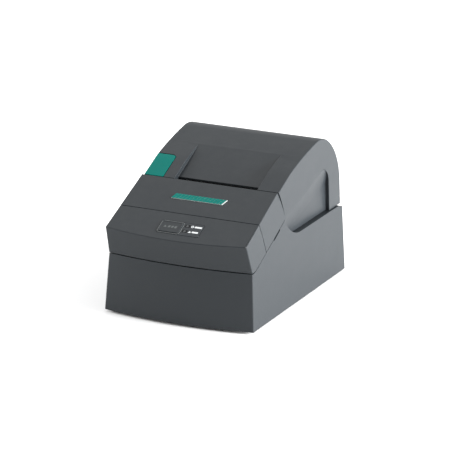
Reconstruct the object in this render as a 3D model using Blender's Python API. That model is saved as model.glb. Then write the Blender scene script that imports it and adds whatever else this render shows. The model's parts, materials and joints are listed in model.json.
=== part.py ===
"""Receipt printer for 80 mm thermal paper.

The printer stands on its feet at z = 0 with its front towards -Y and its right side towards +X.
Panel seams, the paper exit and the control window are laid out in slope coordinates: a distance
"along" the front slope, measured up from its lower edge, and a "depth" normal to it (outwards is
positive).
"""
import math

import bmesh
import bpy
from mathutils import Vector

MM = 0.001


def mm(first, second):
    """A pair of lengths given in millimetres."""
    return first * MM, second * MM


# Driving dimensions
FOOT_HEIGHT = 2.0 * MM
BASE_HALF_WIDTH = 72.5 * MM       # at the lower edge of the housing
FLARE = 0.0575                    # half-width lost per metre of height
COVER_RIGHT = 67.3 * MM           # the roll cover's right side
COVER_LEFT = -64.3 * MM           # its left side is set in
WALL = 2.2 * MM
SEAM = 0.5 * MM                   # width of the gap between two panels
GAP = 0.3 * MM                    # clearance between pieces that touch
SLOPE_ANGLE = math.radians(24.2)

# Side outline, as (y, z)
FRONT_FOOT = (-93.0 * MM, FOOT_HEIGHT)
NOTCH = mm(-89.2, 53.8)
PEAK = mm(-98.5, 80.6)
ROOF_START_Y = -12.0 * MM
ROOF_ARCS = ((115 * MM, 17.5), (349 * MM, 9.5), (37 * MM, -30.0), (56 * MM, -85.5))
SEAM_HEIGHT = 64.0 * MM           # base to roll cover, along the sides and the rear
BASE_REAR = mm(102.6, 103.4)   # rear face at its foot and at the seam
BOW_FOOT = 7.3 * MM               # how far the front bulges in plan
BOW_NOTCH = 6.2 * MM
BOW_PEAK = 5.6 * MM
BOW_STATIONS = 17

# Seams between the panels
BELT_START_Y = -84.0 * MM         # where the base's upper edge leaves the notch
PANEL_SEAM = 30.0 * MM            # front panel to cutter cover, along the slope
EXIT_SEAM = 73.4 * MM             # cutter cover to roll cover, along the slope
CORNER_CENTRE = mm(12.0, 100.0)
CORNER_RADIUS = 36.0 * MM

# Paper path
SLOT_X = mm(-34.3, 46.5)
SLOT_GAP = 7.4 * MM
ROLL_X = mm(-35.0, 47.0)
ROLL_CENTRE = mm(36.0, 64.0)
ROLL_RADIUS = 43.0 * MM
PLATEN_ALONG, PLATEN_DEPTH = 81.0 * MM, -21.0 * MM
PLATEN_RADIUS = 6.0 * MM
SHAFT_RADIUS = 2.5 * MM
GEAR_X = mm(-50.0, -46.0)
GEAR_MODULE = 1.0 * MM

# Cover hinge and catch
HINGE = mm(100.4, 65.3)
KNUCKLE_RADIUS = 3.05 * MM
PIN_RADIUS = 1.5 * MM
RUNNING = 0.12 * MM
CATCH_PIVOT = mm(80.0, -40.0)   # along the slope, depth
BUTTON_TRAVEL = 3.0 * MM

DARK = (0.075, 0.083, 0.090)
PLASTIC = (DARK, 0.42, 0.0)
SIDE_PLASTIC = ((0.068, 0.076, 0.083), 0.45, 0.0)
BLACK = ((0.02, 0.02, 0.022), 0.5, 0.0)
GREEN = ((0.004, 0.19, 0.145), 0.32, 0.0)
RUBBER = ((0.025, 0.025, 0.027), 0.85, 0.0)
STEEL = ((0.55, 0.56, 0.57), 0.35, 1.0)
ZINC = ((0.62, 0.63, 0.64), 0.3, 1.0)
ALLOY = ((0.7, 0.71, 0.72), 0.4, 1.0)
CERAMIC = ((0.06, 0.055, 0.05), 0.2, 0.0)
BRASS = ((0.70, 0.52, 0.22), 0.3, 1.0)
BOARD = ((0.02, 0.14, 0.07), 0.5, 0.0)
NYLON = ((0.80, 0.79, 0.74), 0.5, 0.0)
CLEAR_DARK = ((0.03, 0.035, 0.04), 0.15, 0.0)


# ---------------------------------------------------------------- geometry helpers

def on_slope(along, depth):
    """(y, z) of a point given along the slope and normal to it."""
    y = PEAK[0] + along * math.cos(SLOPE_ANGLE) - depth * math.sin(SLOPE_ANGLE)
    z = PEAK[1] + along * math.sin(SLOPE_ANGLE) + depth * math.cos(SLOPE_ANGLE)
    return y, z


def slope_point(x, along, depth):
    y, z = on_slope(along, depth)
    return Vector((x, y, z))


def belt_height(y):
    """Height of the base's upper edge, which runs parallel to the slope."""
    return NOTCH[1] + (y - BELT_START_Y) * math.tan(SLOPE_ANGLE)


def arc(centre, radius, start, end, steps):
    """Points of an arc between two angles in degrees."""
    points = []
    for step in range(steps + 1):
        angle = math.radians(start + (end - start) * step / steps)
        points.append((centre[0] + radius * math.cos(angle), centre[1] + radius * math.sin(angle)))
    return points


def circle(centre, radius, sides):
    return arc(centre, radius, 0, 360 * (sides - 1) / sides, sides - 1)


def bezier(start, control, end, steps=5):
    points = []
    for step in range(steps + 1):
        t = step / steps
        points.append(tuple((1 - t) ** 2 * a + 2 * t * (1 - t) * b + t * t * c
                            for a, b, c in zip(start, control, end)))
    return points


def offset_line(points, distance):
    """Move an open line sideways: a positive distance goes to the left of its direction."""
    moved = []
    for index, point in enumerate(points):
        here = Vector(point)
        before = Vector(points[index - 1]) if index else None
        after = Vector(points[index + 1]) if index + 1 < len(points) else None
        sides = []
        for first, second in ((before, here), (here, after)):
            if first is not None and second is not None:
                run = (second - first).normalized()
                sides.append(Vector((-run.y, run.x)))
        normal = sum(sides, Vector((0, 0))).normalized()
        moved.append(tuple(here + normal * (distance / normal.dot(sides[0]))))
    return moved


def roof_line(inset=0.0):
    """The slope and the roof as one line, from the front to the rear seam."""
    y, z = ROOF_START_Y, PEAK[1] + (ROOF_START_Y - PEAK[0]) * math.tan(SLOPE_ANGLE)
    points = [on_slope(-30 * MM, 0), (y, z)]
    angle = SLOPE_ANGLE
    for radius, end in ROOF_ARCS:
        end = math.radians(end)
        steps = max(2, round(abs(end - angle) / math.radians(7.5)))
        start = angle
        for step in range(1, steps + 1):
            turned = start + (end - start) * step / steps
            previous = start + (end - start) * (step - 1) / steps
            y += radius * (math.sin(previous) - math.sin(turned))
            z += radius * (math.cos(turned) - math.cos(previous))
            points.append((y, z))
        angle = end
    low = 40 * MM
    points.append((y + (z - low) / math.tan(-angle), low))
    return offset_line(points, -inset)


# ---------------------------------------------------------------- object helpers

def clear_scene():
    for item in list(bpy.data.objects):
        bpy.data.objects.remove(item, do_unlink=True)


def material(name, finish):
    colour, roughness, metallic = finish
    made = bpy.data.materials.new(name)
    made.use_nodes = True
    shader = made.node_tree.nodes["Principled BSDF"]
    shader.inputs["Base Color"].default_value = (*colour, 1.0)
    shader.inputs["Roughness"].default_value = roughness
    shader.inputs["Metallic"].default_value = metallic
    return made


def add_object(name, bm, finish=None):
    """Turn a bmesh into an object. Without a finish it is a hidden tool for a Boolean."""
    bmesh.ops.recalc_face_normals(bm, faces=bm.faces)
    mesh = bpy.data.meshes.new(name)
    bm.to_mesh(mesh)
    bm.free()
    made = bpy.data.objects.new(name, mesh)
    bpy.context.scene.collection.objects.link(made)
    if finish is None:
        made.hide_render = True
        made.display_type = "WIRE"
    else:
        mesh.materials.append(material(name, finish))
        mesh.shade_smooth()
        mesh.set_sharp_from_angle(angle=math.radians(30))
    return made


def extruded(name, corners, shift, finish=None):
    """A flat outline of 3-D corners, extruded along shift."""
    bm = bmesh.new()
    face = bm.faces.new([bm.verts.new(corner) for corner in corners])
    solid = bmesh.ops.extrude_face_region(bm, geom=[face])
    moved = [item for item in solid["geom"] if isinstance(item, bmesh.types.BMVert)]
    bmesh.ops.translate(bm, verts=moved, vec=shift)
    return add_object(name, bm, finish)


def prism(name, outline, x_range, finish=None):
    """A (y, z) outline extruded along X."""
    low, high = x_range
    return extruded(name, [(low, y, z) for y, z in outline], Vector((high - low, 0, 0)), finish)


def plan_prism(name, outline, z_range, finish=None):
    """An (x, y) outline extruded upwards."""
    low, high = z_range
    return extruded(name, [(x, y, low) for x, y in outline], Vector((0, 0, high - low)), finish)


def slope_prism(name, outline, depth_range, finish=None):
    """An (x, along) outline extruded normal to the slope."""
    low, high = depth_range
    shift = slope_point(0, 0, high) - slope_point(0, 0, low)
    return extruded(name, [slope_point(x, along, low) for x, along in outline], shift, finish)


def box(name, x_range, y_range, z_range, finish=None):
    outline = [(y_range[0], z_range[0]), (y_range[1], z_range[0]),
               (y_range[1], z_range[1]), (y_range[0], z_range[1])]
    return prism(name, outline, x_range, finish)


def slope_box(name, x_range, along_range, depth_range, finish=None):
    outline = [on_slope(along_range[0], depth_range[0]), on_slope(along_range[1], depth_range[0]),
               on_slope(along_range[1], depth_range[1]), on_slope(along_range[0], depth_range[1])]
    return prism(name, outline, x_range, finish)


def rod_x(name, centre, radius, x_range, finish=None, sides=20):
    """A cylinder along X about a (y, z) centre."""
    return prism(name, circle(centre, radius, sides), x_range, finish)


def upright(name, centre, radius, z_range, finish=None, sides=20):
    """A cylinder along Z about an (x, y) centre."""
    return plan_prism(name, circle(centre, radius, sides), z_range, finish)


def combine(target, tool, operation):
    step = target.modifiers.new(tool.name, "BOOLEAN")
    step.operation = operation
    step.solver = "EXACT"
    step.object = tool
    return target


def cut(target, *tools):
    for tool in tools:
        combine(target, tool, "DIFFERENCE")
    return target


def keep(target, *tools):
    for tool in tools:
        combine(target, tool, "INTERSECT")
    return target


def add(target, *tools):
    for tool in tools:
        combine(target, tool, "UNION")
    return target


def pivot(target, x, y, z):
    """Put an object's origin on a joint axis without moving its shape."""
    place = Vector((x, y, z))
    for vertex in target.data.vertices:
        vertex.co -= place
    target.location = place
    return target


def empty(name, x, y, z):
    made = bpy.data.objects.new(name, None)
    made.location = (x, y, z)
    bpy.context.scene.collection.objects.link(made)
    return made


def hang(parent, *children):
    """Parent pieces to an unrotated empty and leave them where they are."""
    for child in children:
        child.parent = parent
        child.location = child.location - parent.location


# ---------------------------------------------------------------- shared solids

def width_prism(name, inset, right=None, left=None):
    """The housing's width: flared below, upright where a side is given."""
    low, high = -10 * MM, 150 * MM
    foot = BASE_HALF_WIDTH - inset - FLARE * (low - FOOT_HEIGHT)
    top = BASE_HALF_WIDTH - inset - FLARE * (high - FOOT_HEIGHT)
    corners = [(-foot, low), (foot, low), (top, high), (-top, high)]
    if right is not None:
        corners = [(left + inset, low), (right - inset, low), (right - inset, high), (left + inset, high)]
    start, length = -130 * MM, 260 * MM
    return extruded(name, [(x, start, z) for x, z in corners], Vector((0, length, 0)))


def front_solid(name, inset):
    """Everything behind the bowed front, whose bow shrinks with height."""
    lean = (PEAK[0] - NOTCH[0]) / (PEAK[1] - NOTCH[1])
    bow_rate = (BOW_PEAK - BOW_NOTCH) / (PEAK[1] - NOTCH[1])
    top = 145 * MM
    rise = top - NOTCH[1]
    low = -10 * MM
    drop = (FRONT_FOOT[0] - NOTCH[0]) / (NOTCH[1] - FRONT_FOOT[1])
    levels = ((low, NOTCH[0] + drop * (NOTCH[1] - low), BOW_FOOT),
              (NOTCH[1], NOTCH[0], BOW_NOTCH),
              (top, NOTCH[0] + lean * rise, BOW_NOTCH + bow_rate * rise))
    rear, side = 130 * MM, 80 * MM
    bm = bmesh.new()
    rings = []
    for z, y, bow in levels:
        ring = []
        for station in range(BOW_STATIONS):
            x = side * (2 * station / (BOW_STATIONS - 1) - 1)
            bulge = bow * (1 - (x / (BASE_HALF_WIDTH - FLARE * (z - FOOT_HEIGHT))) ** 2)
            ring.append(bm.verts.new((x, y - bulge + inset, z)))
        ring += [bm.verts.new((side, rear, z)), bm.verts.new((-side, rear, z))]
        rings.append(ring)
    for lower, upper in zip(rings, rings[1:]):
        for index in range(len(lower)):
            after = (index + 1) % len(lower)
            bm.faces.new((lower[index], lower[after], upper[after], upper[index]))
    bm.faces.new(rings[0])
    bm.faces.new(rings[-1])
    return add_object(name, bm)


def outline_below_roof(inset=0.0, floor=-10 * MM):
    roof = roof_line(inset)
    start_y = roof[0][0]
    return [(start_y, floor)] + roof + [(roof[-1][0], floor)]


def envelope(name, finish, inset=0.0, side=None):
    """The outer form of the upper panels as one block."""
    body = prism(name, outline_below_roof(inset), mm(-78, 78), finish)
    right, left = side or (None, None)
    keep(body, width_prism(name + "_width", inset, right, left))
    keep(body, front_solid(name + "_front", inset))
    return body


def panel_seam_line():
    foot_y = -59.8 * MM
    return bezier(on_slope(PANEL_SEAM, 0), mm(-65.0, 80.0), (foot_y, belt_height(foot_y)))


def exit_seam_line():
    foot_y = -18.0 * MM
    return bezier(on_slope(EXIT_SEAM, 0), mm(-22.3, 96.5), (foot_y, belt_height(foot_y)))


def base_edge_line():
    """Upper edge of the base: notch, belt, rounded inner corner, rear."""
    tip_y = -19.3 * MM
    points = [(-130 * MM, NOTCH[1]), (BELT_START_Y - 3 * MM, NOTCH[1]),
              (BELT_START_Y + 2 * MM, belt_height(BELT_START_Y + 2 * MM)), (tip_y, belt_height(tip_y))]
    points += arc(CORNER_CENTRE, CORNER_RADIUS, 208, 270, 6)[1:]
    return points + [(130 * MM, SEAM_HEIGHT)]


def above(line_points, distance):
    """Extend a seam's first point outwards, so that its region passes the roof."""
    y, z = line_points[0]
    return (y - math.sin(SLOPE_ANGLE) * distance, z + math.cos(SLOPE_ANGLE) * distance)


# ---------------------------------------------------------------- base

SWITCH_CENTRE = mm(-50.0, 40.0)       # (x, z) on the rear wall
SWITCH_HALF = mm(6.5, 9.0)            # half the bezel's width and height
REAR_SOCKETS = (("power_socket", 38.0 * MM, 12.0 * MM, 12.0 * MM),
                ("usb_socket", 12.0 * MM, 13.0 * MM, 12.0 * MM),
                ("drawer_socket", -14.0 * MM, 14.0 * MM, 13.0 * MM))
SOCKET_CENTRE_Z = 20.0 * MM
REAR_FACE_Y = 102.4 * MM
REAR_WALL_Y = mm(95.0, 110.0)         # reaches through the rear wall
BASE_WALL = 2.5 * MM


def make_base_housing():
    rear_foot, rear_top = BASE_REAR
    block = [(-130 * MM, FOOT_HEIGHT), (rear_foot, FOOT_HEIGHT),
             (rear_top, 100 * MM), mm(-130, 100)]
    housing = prism("base_housing", block, mm(-78, 78), SIDE_PLASTIC)
    keep(housing, width_prism("base_width", 0.0), front_solid("base_front", 0.0))
    edge = offset_line(base_edge_line(), -SEAM / 2)
    region = prism("base_region", edge + [mm(130, -20), mm(-130, -20)], mm(-85, 85))
    keep(housing, region)
    hollow = prism("base_hollow", [mm(-125, -15), (rear_foot - BASE_WALL, -15 * MM),
                                   (rear_top - BASE_WALL, 110 * MM), mm(-125, 110)],
                   mm(-78, 78))
    keep(hollow, width_prism("base_hollow_width", BASE_WALL), front_solid("base_hollow_front", BASE_WALL))
    cut(housing, hollow)
    # a ledge and an upstand inside each side close the gap to the roll cover
    ledge_top = SEAM_HEIGHT - 2.0 * MM
    for side, inner in ((1, 59.4 * MM), (-1, 56.4 * MM)):
        low, high = sorted((side * inner, side * 68.0 * MM))
        add(housing, box(f"ledge_{side}", (low, high), mm(-2.0, 101.5),
                         (ledge_top - 2.0 * MM, ledge_top)))
        low, high = sorted((side * inner, side * (inner + 1.2 * MM)))
        add(housing, box(f"upstand_{side}", (low, high), mm(-1.5, 94.0),
                         (ledge_top - 1.0 * MM, ledge_top + 5.0 * MM)))
    # rear edge lowered, and its ends chamfered, so that the cover's rear edge can swing down past it
    cut(housing, box("rear_edge", mm(-66.0, 66.0), mm(99.5, 110), mm(61.2, 70)))
    chamfer = [(95.5 * MM, SEAM_HEIGHT + 0.5 * MM), (110 * MM, SEAM_HEIGHT + 0.5 * MM),
               mm(110, 61.2), mm(98.5, 61.2)]
    cut(housing, prism("rear_chamfer", chamfer, mm(-80, 80)))
    for side in (-1, 1):
        add(housing, make_knuckle(f"base_knuckle_{side}", side, mm(55.0, 62.0), 56 * MM))
        cut(housing, rod_x(f"base_pin_hole_{side}", HINGE, PIN_RADIUS + RUNNING,
                           tuple(sorted((side * 53.0 * MM, side * 64.0 * MM))), sides=16))
        cut(housing, make_pry_slot(side))
    for name, x, width, height in REAR_SOCKETS:
        across = (x - width / 2, x + width / 2)
        upwards = (SOCKET_CENTRE_Z - height / 2, SOCKET_CENTRE_Z + height / 2)
        cut(housing, box(name + "_hole", grown(across, GAP), REAR_WALL_Y, grown(upwards, GAP)))
    x, z = SWITCH_CENTRE
    half_width, half_height = SWITCH_HALF
    cut(housing, box("switch_hole", grown((x - half_width, x + half_width), GAP), REAR_WALL_Y,
                     grown((z - half_height, z + half_height), GAP)))
    for index, (x, y) in enumerate(SCREW_PLACES.values()):
        add(housing, upright(f"boss_{index}", (x, y), 3.5 * MM, mm(6.5, 18), sides=12))
        add(housing, box(f"boss_web_{index}", tuple(sorted((x, math.copysign(70.5 * MM, x)))),
                         (y - 1 * MM, y + 1 * MM), mm(7, 18)))
        cut(housing, upright(f"boss_hole_{index}", (x, y), 1.8 * MM, (0, 16 * MM), sides=12))
    return housing


def make_knuckle(name, side, x_range, foot_z):
    """A hinge barrel about the hinge axis, on a neck that runs down into the rear wall."""
    neck_y = HINGE[0] + 1.5 * MM
    outline = arc(HINGE, KNUCKLE_RADIUS, 0, 180, 8)
    outline += [(HINGE[0] - KNUCKLE_RADIUS, foot_z), (neck_y, foot_z), (neck_y, 60.5 * MM)]
    low, high = sorted((side * x_range[0], side * x_range[1]))
    return prism(name, outline, (low, high))


def make_pry_slot(side):
    """A short slot under the belt line, with a sloped lower face."""
    start_y, end_y = -43.5 * MM, -30.5 * MM
    height, deep = 1.3 * MM, 2.0 * MM
    outer, inner = 75 * MM, 68.4 * MM - deep
    corners = []
    for x, drop in ((inner, height), (outer, height + 2.2 * MM)):
        low = Vector((side * x, start_y, belt_height(start_y) - drop))
        high = Vector((side * x, start_y, belt_height(start_y) + 1 * MM))
        corners.append((low, high))
    (inner_low, inner_high), (outer_low, outer_high) = corners
    rise = belt_height(end_y) - belt_height(start_y)
    return extruded(f"pry_slot_{side}", [inner_low, outer_low, outer_high, inner_high],
                    Vector((0, end_y - start_y, rise)))


SCREW_PLACES = {"screw_front_left": mm(-58.0, -78.0), "screw_front_right": mm(58.0, -78.0),
                "screw_rear_left": mm(-58.0, 88.0), "screw_rear_right": mm(58.0, 88.0)}
FOOT_PLACES = {"foot_front_left": mm(-46.0, -82.0), "foot_front_right": mm(46.0, -82.0),
               "foot_rear_left": mm(-52.0, 76.0), "foot_rear_right": mm(52.0, 76.0)}


def make_bottom_plate():
    plate = box("bottom_plate", mm(-78, 78), mm(-120, 99.5), mm(4.2, 6.2), BLACK)
    inset = BASE_WALL + GAP
    keep(plate, width_prism("plate_width", inset), front_solid("plate_front", inset))
    for index, (x, y) in enumerate(SCREW_PLACES.values()):
        cut(plate, upright(f"plate_hole_{index}", (x, y), 1.9 * MM, (0, 10 * MM), sides=12))
    return plate


def make_foot(name, x, y):
    """A turned rubber foot with a rounded lower rim."""
    bm = bmesh.new()
    profile = [(0.0, 3.9 * MM), mm(5.5, 3.9), mm(6.5, 3.0), mm(6.5, 0.8),
               (5.7 * MM, 0.0), (0.0, 0.0)]
    points = [bm.verts.new((radius, 0, z)) for radius, z in profile]
    edges = [bm.edges.new(pair) for pair in zip(points, points[1:])]
    bmesh.ops.spin(bm, geom=points + edges, cent=(0, 0, 0), axis=(0, 0, 1), angle=2 * math.pi,
                   steps=20, use_merge=True)
    bmesh.ops.remove_doubles(bm, verts=bm.verts, dist=0.00001)
    foot = add_object(name, bm, RUBBER)
    foot.location = (x, y, 0)
    return foot


def make_screw(name, x, y):
    head = upright(name, (x, y), 3.0 * MM, mm(2.4, 3.9), ZINC, sides=16)
    add(head, upright(name + "_shank", (x, y), 1.45 * MM, mm(3.4, 14), sides=12))
    for turn in (0, 90):
        size = mm(0.35, 1.7) if turn else mm(1.7, 0.35)
        cut(head, box(f"{name}_cross_{turn}", (x - size[0], x + size[0]), (y - size[1], y + size[1]),
                      mm(2.0, 3.1)))
    return head


# ---------------------------------------------------------------- panels on the slope

WINDOW_X, WINDOW_ALONG = mm(-20.7, 20.6), mm(3.0, 19.5)
FEED_X, FEED_ALONG = mm(-19.4, 0.8), mm(4.5, 18.2)
KEY_GAP = 0.4 * MM                # round the feed key
LEDS = (("power_led", 5.0 * MM, 15.4 * MM), ("error_led", 5.0 * MM, 8.7 * MM))
BADGE_X, BADGE_ALONG = mm(-25.8, 26.4), mm(48.0, 54.6)
BADGE_SLANT = 2.6 * MM


def grown(limits, distance):
    return (limits[0] - distance, limits[1] + distance)


def led_hole(name, x, along, radius, depth_range, finish=None):
    return slope_prism(name, circle((x, along), radius, 16), depth_range, finish)


def make_front_panel():
    panel = envelope("front_panel", PLASTIC)
    cut(panel, envelope("front_panel_inside", None, WALL))
    belt = offset_line(base_edge_line()[:4], SEAM / 2)
    seam = offset_line(panel_seam_line(), -SEAM / 2)
    notch_lift = 0.4 * MM
    low = [(belt[0][0], belt[0][1] + notch_lift), (belt[1][0], belt[1][1] + notch_lift), belt[2]]
    outline = low + [seam[-1]] + seam[::-1][1:] + [above(seam, 30 * MM), mm(-130, 130)]
    keep(panel, prism("front_panel_region", outline, mm(-85, 85)))
    cut(panel, slope_box("window_pocket", WINDOW_X, WINDOW_ALONG, mm(-1.2, 5)))
    cut(panel, slope_box("feed_hole", grown(FEED_X, KEY_GAP), grown(FEED_ALONG, KEY_GAP), mm(-8, 5)))
    for name, x, along in LEDS:
        cut(panel, led_hole(name + "_hole", x, along, 1.9 * MM, mm(-8, 5)))
    return panel


def make_control_window():
    window = slope_box("control_window", grown(WINDOW_X, -GAP), grown(WINDOW_ALONG, -GAP),
                       mm(-0.9, 0.1), BLACK)
    cut(window, slope_box("window_feed_hole", grown(FEED_X, KEY_GAP), grown(FEED_ALONG, KEY_GAP),
                          mm(-3, 3)))
    for name, x, along in LEDS:
        cut(window, led_hole(name + "_window_hole", x, along, 1.8 * MM, mm(-3, 3)))
    return window


def make_feed_button():
    """A keycap with a feed arrow raised on it and a plunger behind."""
    button = slope_box("feed_button", FEED_X, FEED_ALONG, mm(-3.5, 0.9), PLASTIC)
    centre_x, centre_along = sum(FEED_X) / 2, sum(FEED_ALONG) / 2
    add(button, slope_box("plunger", (centre_x - 2 * MM, centre_x + 2 * MM),
                          (centre_along - 2 * MM, centre_along + 2 * MM), mm(-6.4, -3.0)))
    foot, tip, half = centre_along + 0.2 * MM, centre_along + 2.8 * MM, 2.2 * MM
    arrow = [(centre_x - half, foot), (centre_x + half, foot), (centre_x, tip)]
    add(button, slope_prism("feed_arrow", arrow, mm(0.5, 1.2)))
    return pivot(button, *slope_point(centre_x, centre_along, 0))


def make_led(name, x, along):
    return led_hole(name, x, along, 1.5 * MM, mm(-6.5, 0.25), CLEAR_DARK)


def make_control_board():
    return slope_box("control_board", mm(-27, 27), mm(1.0, 24), mm(-9.9, -8.3), BOARD)


def make_cutter_cover():
    cover = envelope("cutter_cover", PLASTIC)
    cut(cover, envelope("cutter_cover_inside", None, WALL))
    front = offset_line(panel_seam_line(), SEAM / 2)
    rear = offset_line(exit_seam_line(), -SEAM / 2)
    lift = SEAM / 2 / math.cos(SLOPE_ANGLE)
    low = [(y, belt_height(y) + lift) for y in (front[-1][0], rear[-1][0])]
    outline = [above(front, 30 * MM)] + front[:-1] + low + rear[::-1][1:] + [above(rear, 30 * MM)]
    keep(cover, prism("cutter_cover_region", outline, mm(-85, 85)))
    cut(cover, slope_prism("badge_pocket", badge_outline(GAP), mm(-0.7, 5)))
    return cover


def badge_outline(margin):
    low_x, high_x = BADGE_X[0] - margin, BADGE_X[1] + margin
    low, high = grown(BADGE_ALONG, margin)
    return [(low_x, low), (high_x - BADGE_SLANT, low), (high_x, high), (low_x + BADGE_SLANT, high)]


def make_badge():
    return slope_prism("badge", badge_outline(0.0), mm(-0.35, 0.6), GREEN)


# ---------------------------------------------------------------- roll cover and button

BUTTON_X = (COVER_LEFT, -45.5 * MM)
BUTTON_ALONG = (EXIT_SEAM + SEAM, 104.2 * MM)
PLUNGER_X, PLUNGER_ALONG = mm(-57.5, -54.0), mm(95.0, 99.0)
BUTTON_DEEP = 6.5 * MM
SKIRT, SKIRT_DEEP = 1.5 * MM, 13.5 * MM
CREASE = (mm(-18.9, 83.0), mm(61.5, 105.5))   # upper front edge of a finger recess
RECESS_DEPTH = 3.6 * MM
RECESS_RAMP = 0.2                                              # depth gained per distance from the crease


def button_outline(margin):
    """(x, along) outline with a rounded inner upper corner; it runs past the cover's left side."""
    right, top = BUTTON_X[1] + margin, BUTTON_ALONG[1] + margin
    left, low = -80 * MM, BUTTON_ALONG[0] - margin
    radius = 4 * MM + margin
    corner = arc((right - radius, top - radius), radius, 0, 90, 5)
    return [(left, low), (right, low)] + corner + [(left, top)]


def recess_outline(margin=0.0):
    """(y, z) outline of a finger recess; its upper front edge is set by the ramp."""
    rear_corner = arc(mm(61.0, 91.5), 14.5 * MM + margin, 80, 5, 5)
    return [mm(-30, 58), mm(-30, 108)] + rear_corner + [(77.8 * MM + margin, 58 * MM)]


def recess_solid(name, side, outer, margin):
    """Recess outline, from its floor outwards, cut off by the ramp plane along the crease."""
    bm = bmesh.new()
    face_x = outer - RECESS_DEPTH - margin
    reach = outer + 12 * MM
    loops = [[bm.verts.new((side * x, y, z)) for y, z in recess_outline(margin)] for x in (face_x, reach)]
    bm.faces.new(loops[0])
    bm.faces.new(loops[1])
    count = len(loops[0])
    for index in range(count):
        after = (index + 1) % count
        bm.faces.new((loops[0][index], loops[0][after], loops[1][after], loops[1][index]))
    run = Vector((0, CREASE[1][0] - CREASE[0][0], CREASE[1][1] - CREASE[0][1])).normalized()
    down = Vector((0, run.z, -run.y))
    inward = Vector((-side * RECESS_RAMP, 0, 0)) + down
    normal = run.cross(inward)
    if normal.x * side < 0:
        normal = -normal
    start = Vector((side * (outer - margin), CREASE[0][0], CREASE[0][1]))
    geometry = bm.verts[:] + bm.edges[:] + bm.faces[:]
    trimmed = bmesh.ops.bisect_plane(bm, geom=geometry, dist=0.000001, plane_co=start, plane_no=normal,
                                     clear_inner=True)
    rim = [item for item in trimmed["geom_cut"] if isinstance(item, bmesh.types.BMEdge)]
    bmesh.ops.contextual_create(bm, geom=rim)
    return add_object(name, bm)


def exit_floor_line():
    """Floor of the paper exit, from its rear end on the roof down to the seam."""
    rear = mm(14.0, 127.4)
    front_y, front_z = on_slope(EXIT_SEAM, -4.2 * MM)
    return (front_y, front_z), rear


def exit_block(name, margin, depth):
    """Space above the exit floor, lowered by depth, with its sides moved out by margin."""
    (front_y, front_z), (rear_y, rear_z) = exit_floor_line()
    slope = (rear_z - front_z) / (rear_y - front_y)
    far_y = rear_y + 20 * MM
    outline = [(front_y - 20 * MM, front_z - 20 * MM * slope - depth),
               (far_y, rear_z + 20 * MM * slope - depth), (far_y, 160 * MM), (front_y - 20 * MM, 160 * MM)]
    return prism(name, outline, grown(SLOT_X, margin))


def make_roll_cover():
    side = (COVER_RIGHT, COVER_LEFT)
    cover = envelope("roll_cover", PLASTIC, side=side)
    inside = envelope("roll_cover_inside", None, WALL, side=side)
    # the inside stays clear of the exit floor, of both finger recesses and of the button's well
    cut(inside, exit_block("exit_backing", WALL, WALL))
    for sign, outer in ((1, COVER_RIGHT), (-1, -COVER_LEFT)):
        cut(inside, recess_solid(f"recess_backing_{sign}", sign, outer, WALL))
    cut(cover, inside)
    seam = offset_line(exit_seam_line(), SEAM / 2)
    edge = offset_line(base_edge_line(), SEAM / 2)
    outline = [above(seam, 30 * MM)] + seam[:-1] + edge[4:] + [mm(130, 160), mm(-40, 160)]
    keep(cover, prism("roll_cover_region", outline, mm(-85, 85)))
    cut(cover, exit_block("paper_exit", 0.0, 0.0))
    slot_along = (EXIT_SEAM - 5 * MM, EXIT_SEAM + SLOT_GAP)
    cut(cover, slope_box("paper_slot", grown(SLOT_X, -0.01 * MM), slot_along, mm(-12, 10)))
    for sign, outer in ((1, COVER_RIGHT), (-1, -COVER_LEFT)):
        cut(cover, recess_solid(f"finger_recess_{sign}", sign, outer, 0.0))
    well_floor = -BUTTON_DEEP - BUTTON_TRAVEL - 1 * MM
    cut(cover, slope_prism("button_well", button_outline(SEAM), (well_floor, 20 * MM)))
    for sign in (-1, 1):
        low, high = sorted((sign * 54.4 * MM, sign * 62.6 * MM))
        cut(cover, box(f"knuckle_notch_{sign}", (low, high), mm(96.5, 110), mm(60, 69.5)))
        barrel = arc(HINGE, KNUCKLE_RADIUS, 180, 360, 8)
        barrel += [(HINGE[0] + KNUCKLE_RADIUS, 71 * MM), (HINGE[0] - KNUCKLE_RADIUS, 71 * MM)]
        low, high = sorted((sign * 46.5 * MM, sign * 54.0 * MM))
        ear = prism(f"cover_knuckle_{sign}", barrel, (low, high))
        keep(ear, prism(f"cover_knuckle_limit_{sign}", outline_below_roof(0.1 * MM), mm(-80, 80)))
        add(cover, ear)
        cut(cover, rod_x(f"cover_pin_hole_{sign}", HINGE, PIN_RADIUS + RUNNING,
                         tuple(sorted((sign * 45.0 * MM, sign * 56.0 * MM))), sides=16))
    return cover


def make_open_button():
    """The green corner of the roof line: a hollow cap with a skirt inside the cover and a plunger."""
    cap = envelope("open_button", GREEN, side=(COVER_RIGHT, COVER_LEFT))
    keep(cap, slope_prism("button_shape", button_outline(0.0), (-BUTTON_DEEP, 20 * MM)))
    hollow_x = (BUTTON_X[0] + 2 * MM, BUTTON_X[1] - 2 * MM)
    hollow_along = (BUTTON_ALONG[0] + 2 * MM, BUTTON_ALONG[1] - 3 * MM)
    cut(cap, slope_box("button_hollow", hollow_x, hollow_along, mm(-12, -3.5)))
    skirt_x = (BUTTON_X[0] + WALL + SEAM, BUTTON_X[0] + WALL + SEAM + SKIRT)
    add(cap, slope_box("button_skirt", skirt_x, grown(BUTTON_ALONG, -1 * MM), (-SKIRT_DEEP, -2.8 * MM)))
    add(cap, slope_box("button_plunger", PLUNGER_X, PLUNGER_ALONG, mm(-12.3, -2.8)))
    return pivot(cap, *slope_point(-55 * MM, 89 * MM, 0))


def make_hinge_pin(name, side):
    x_range = tuple(sorted((side * 47.5 * MM, side * 61.5 * MM)))
    return rod_x(name, HINGE, PIN_RADIUS, x_range, STEEL, sides=16)


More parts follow.
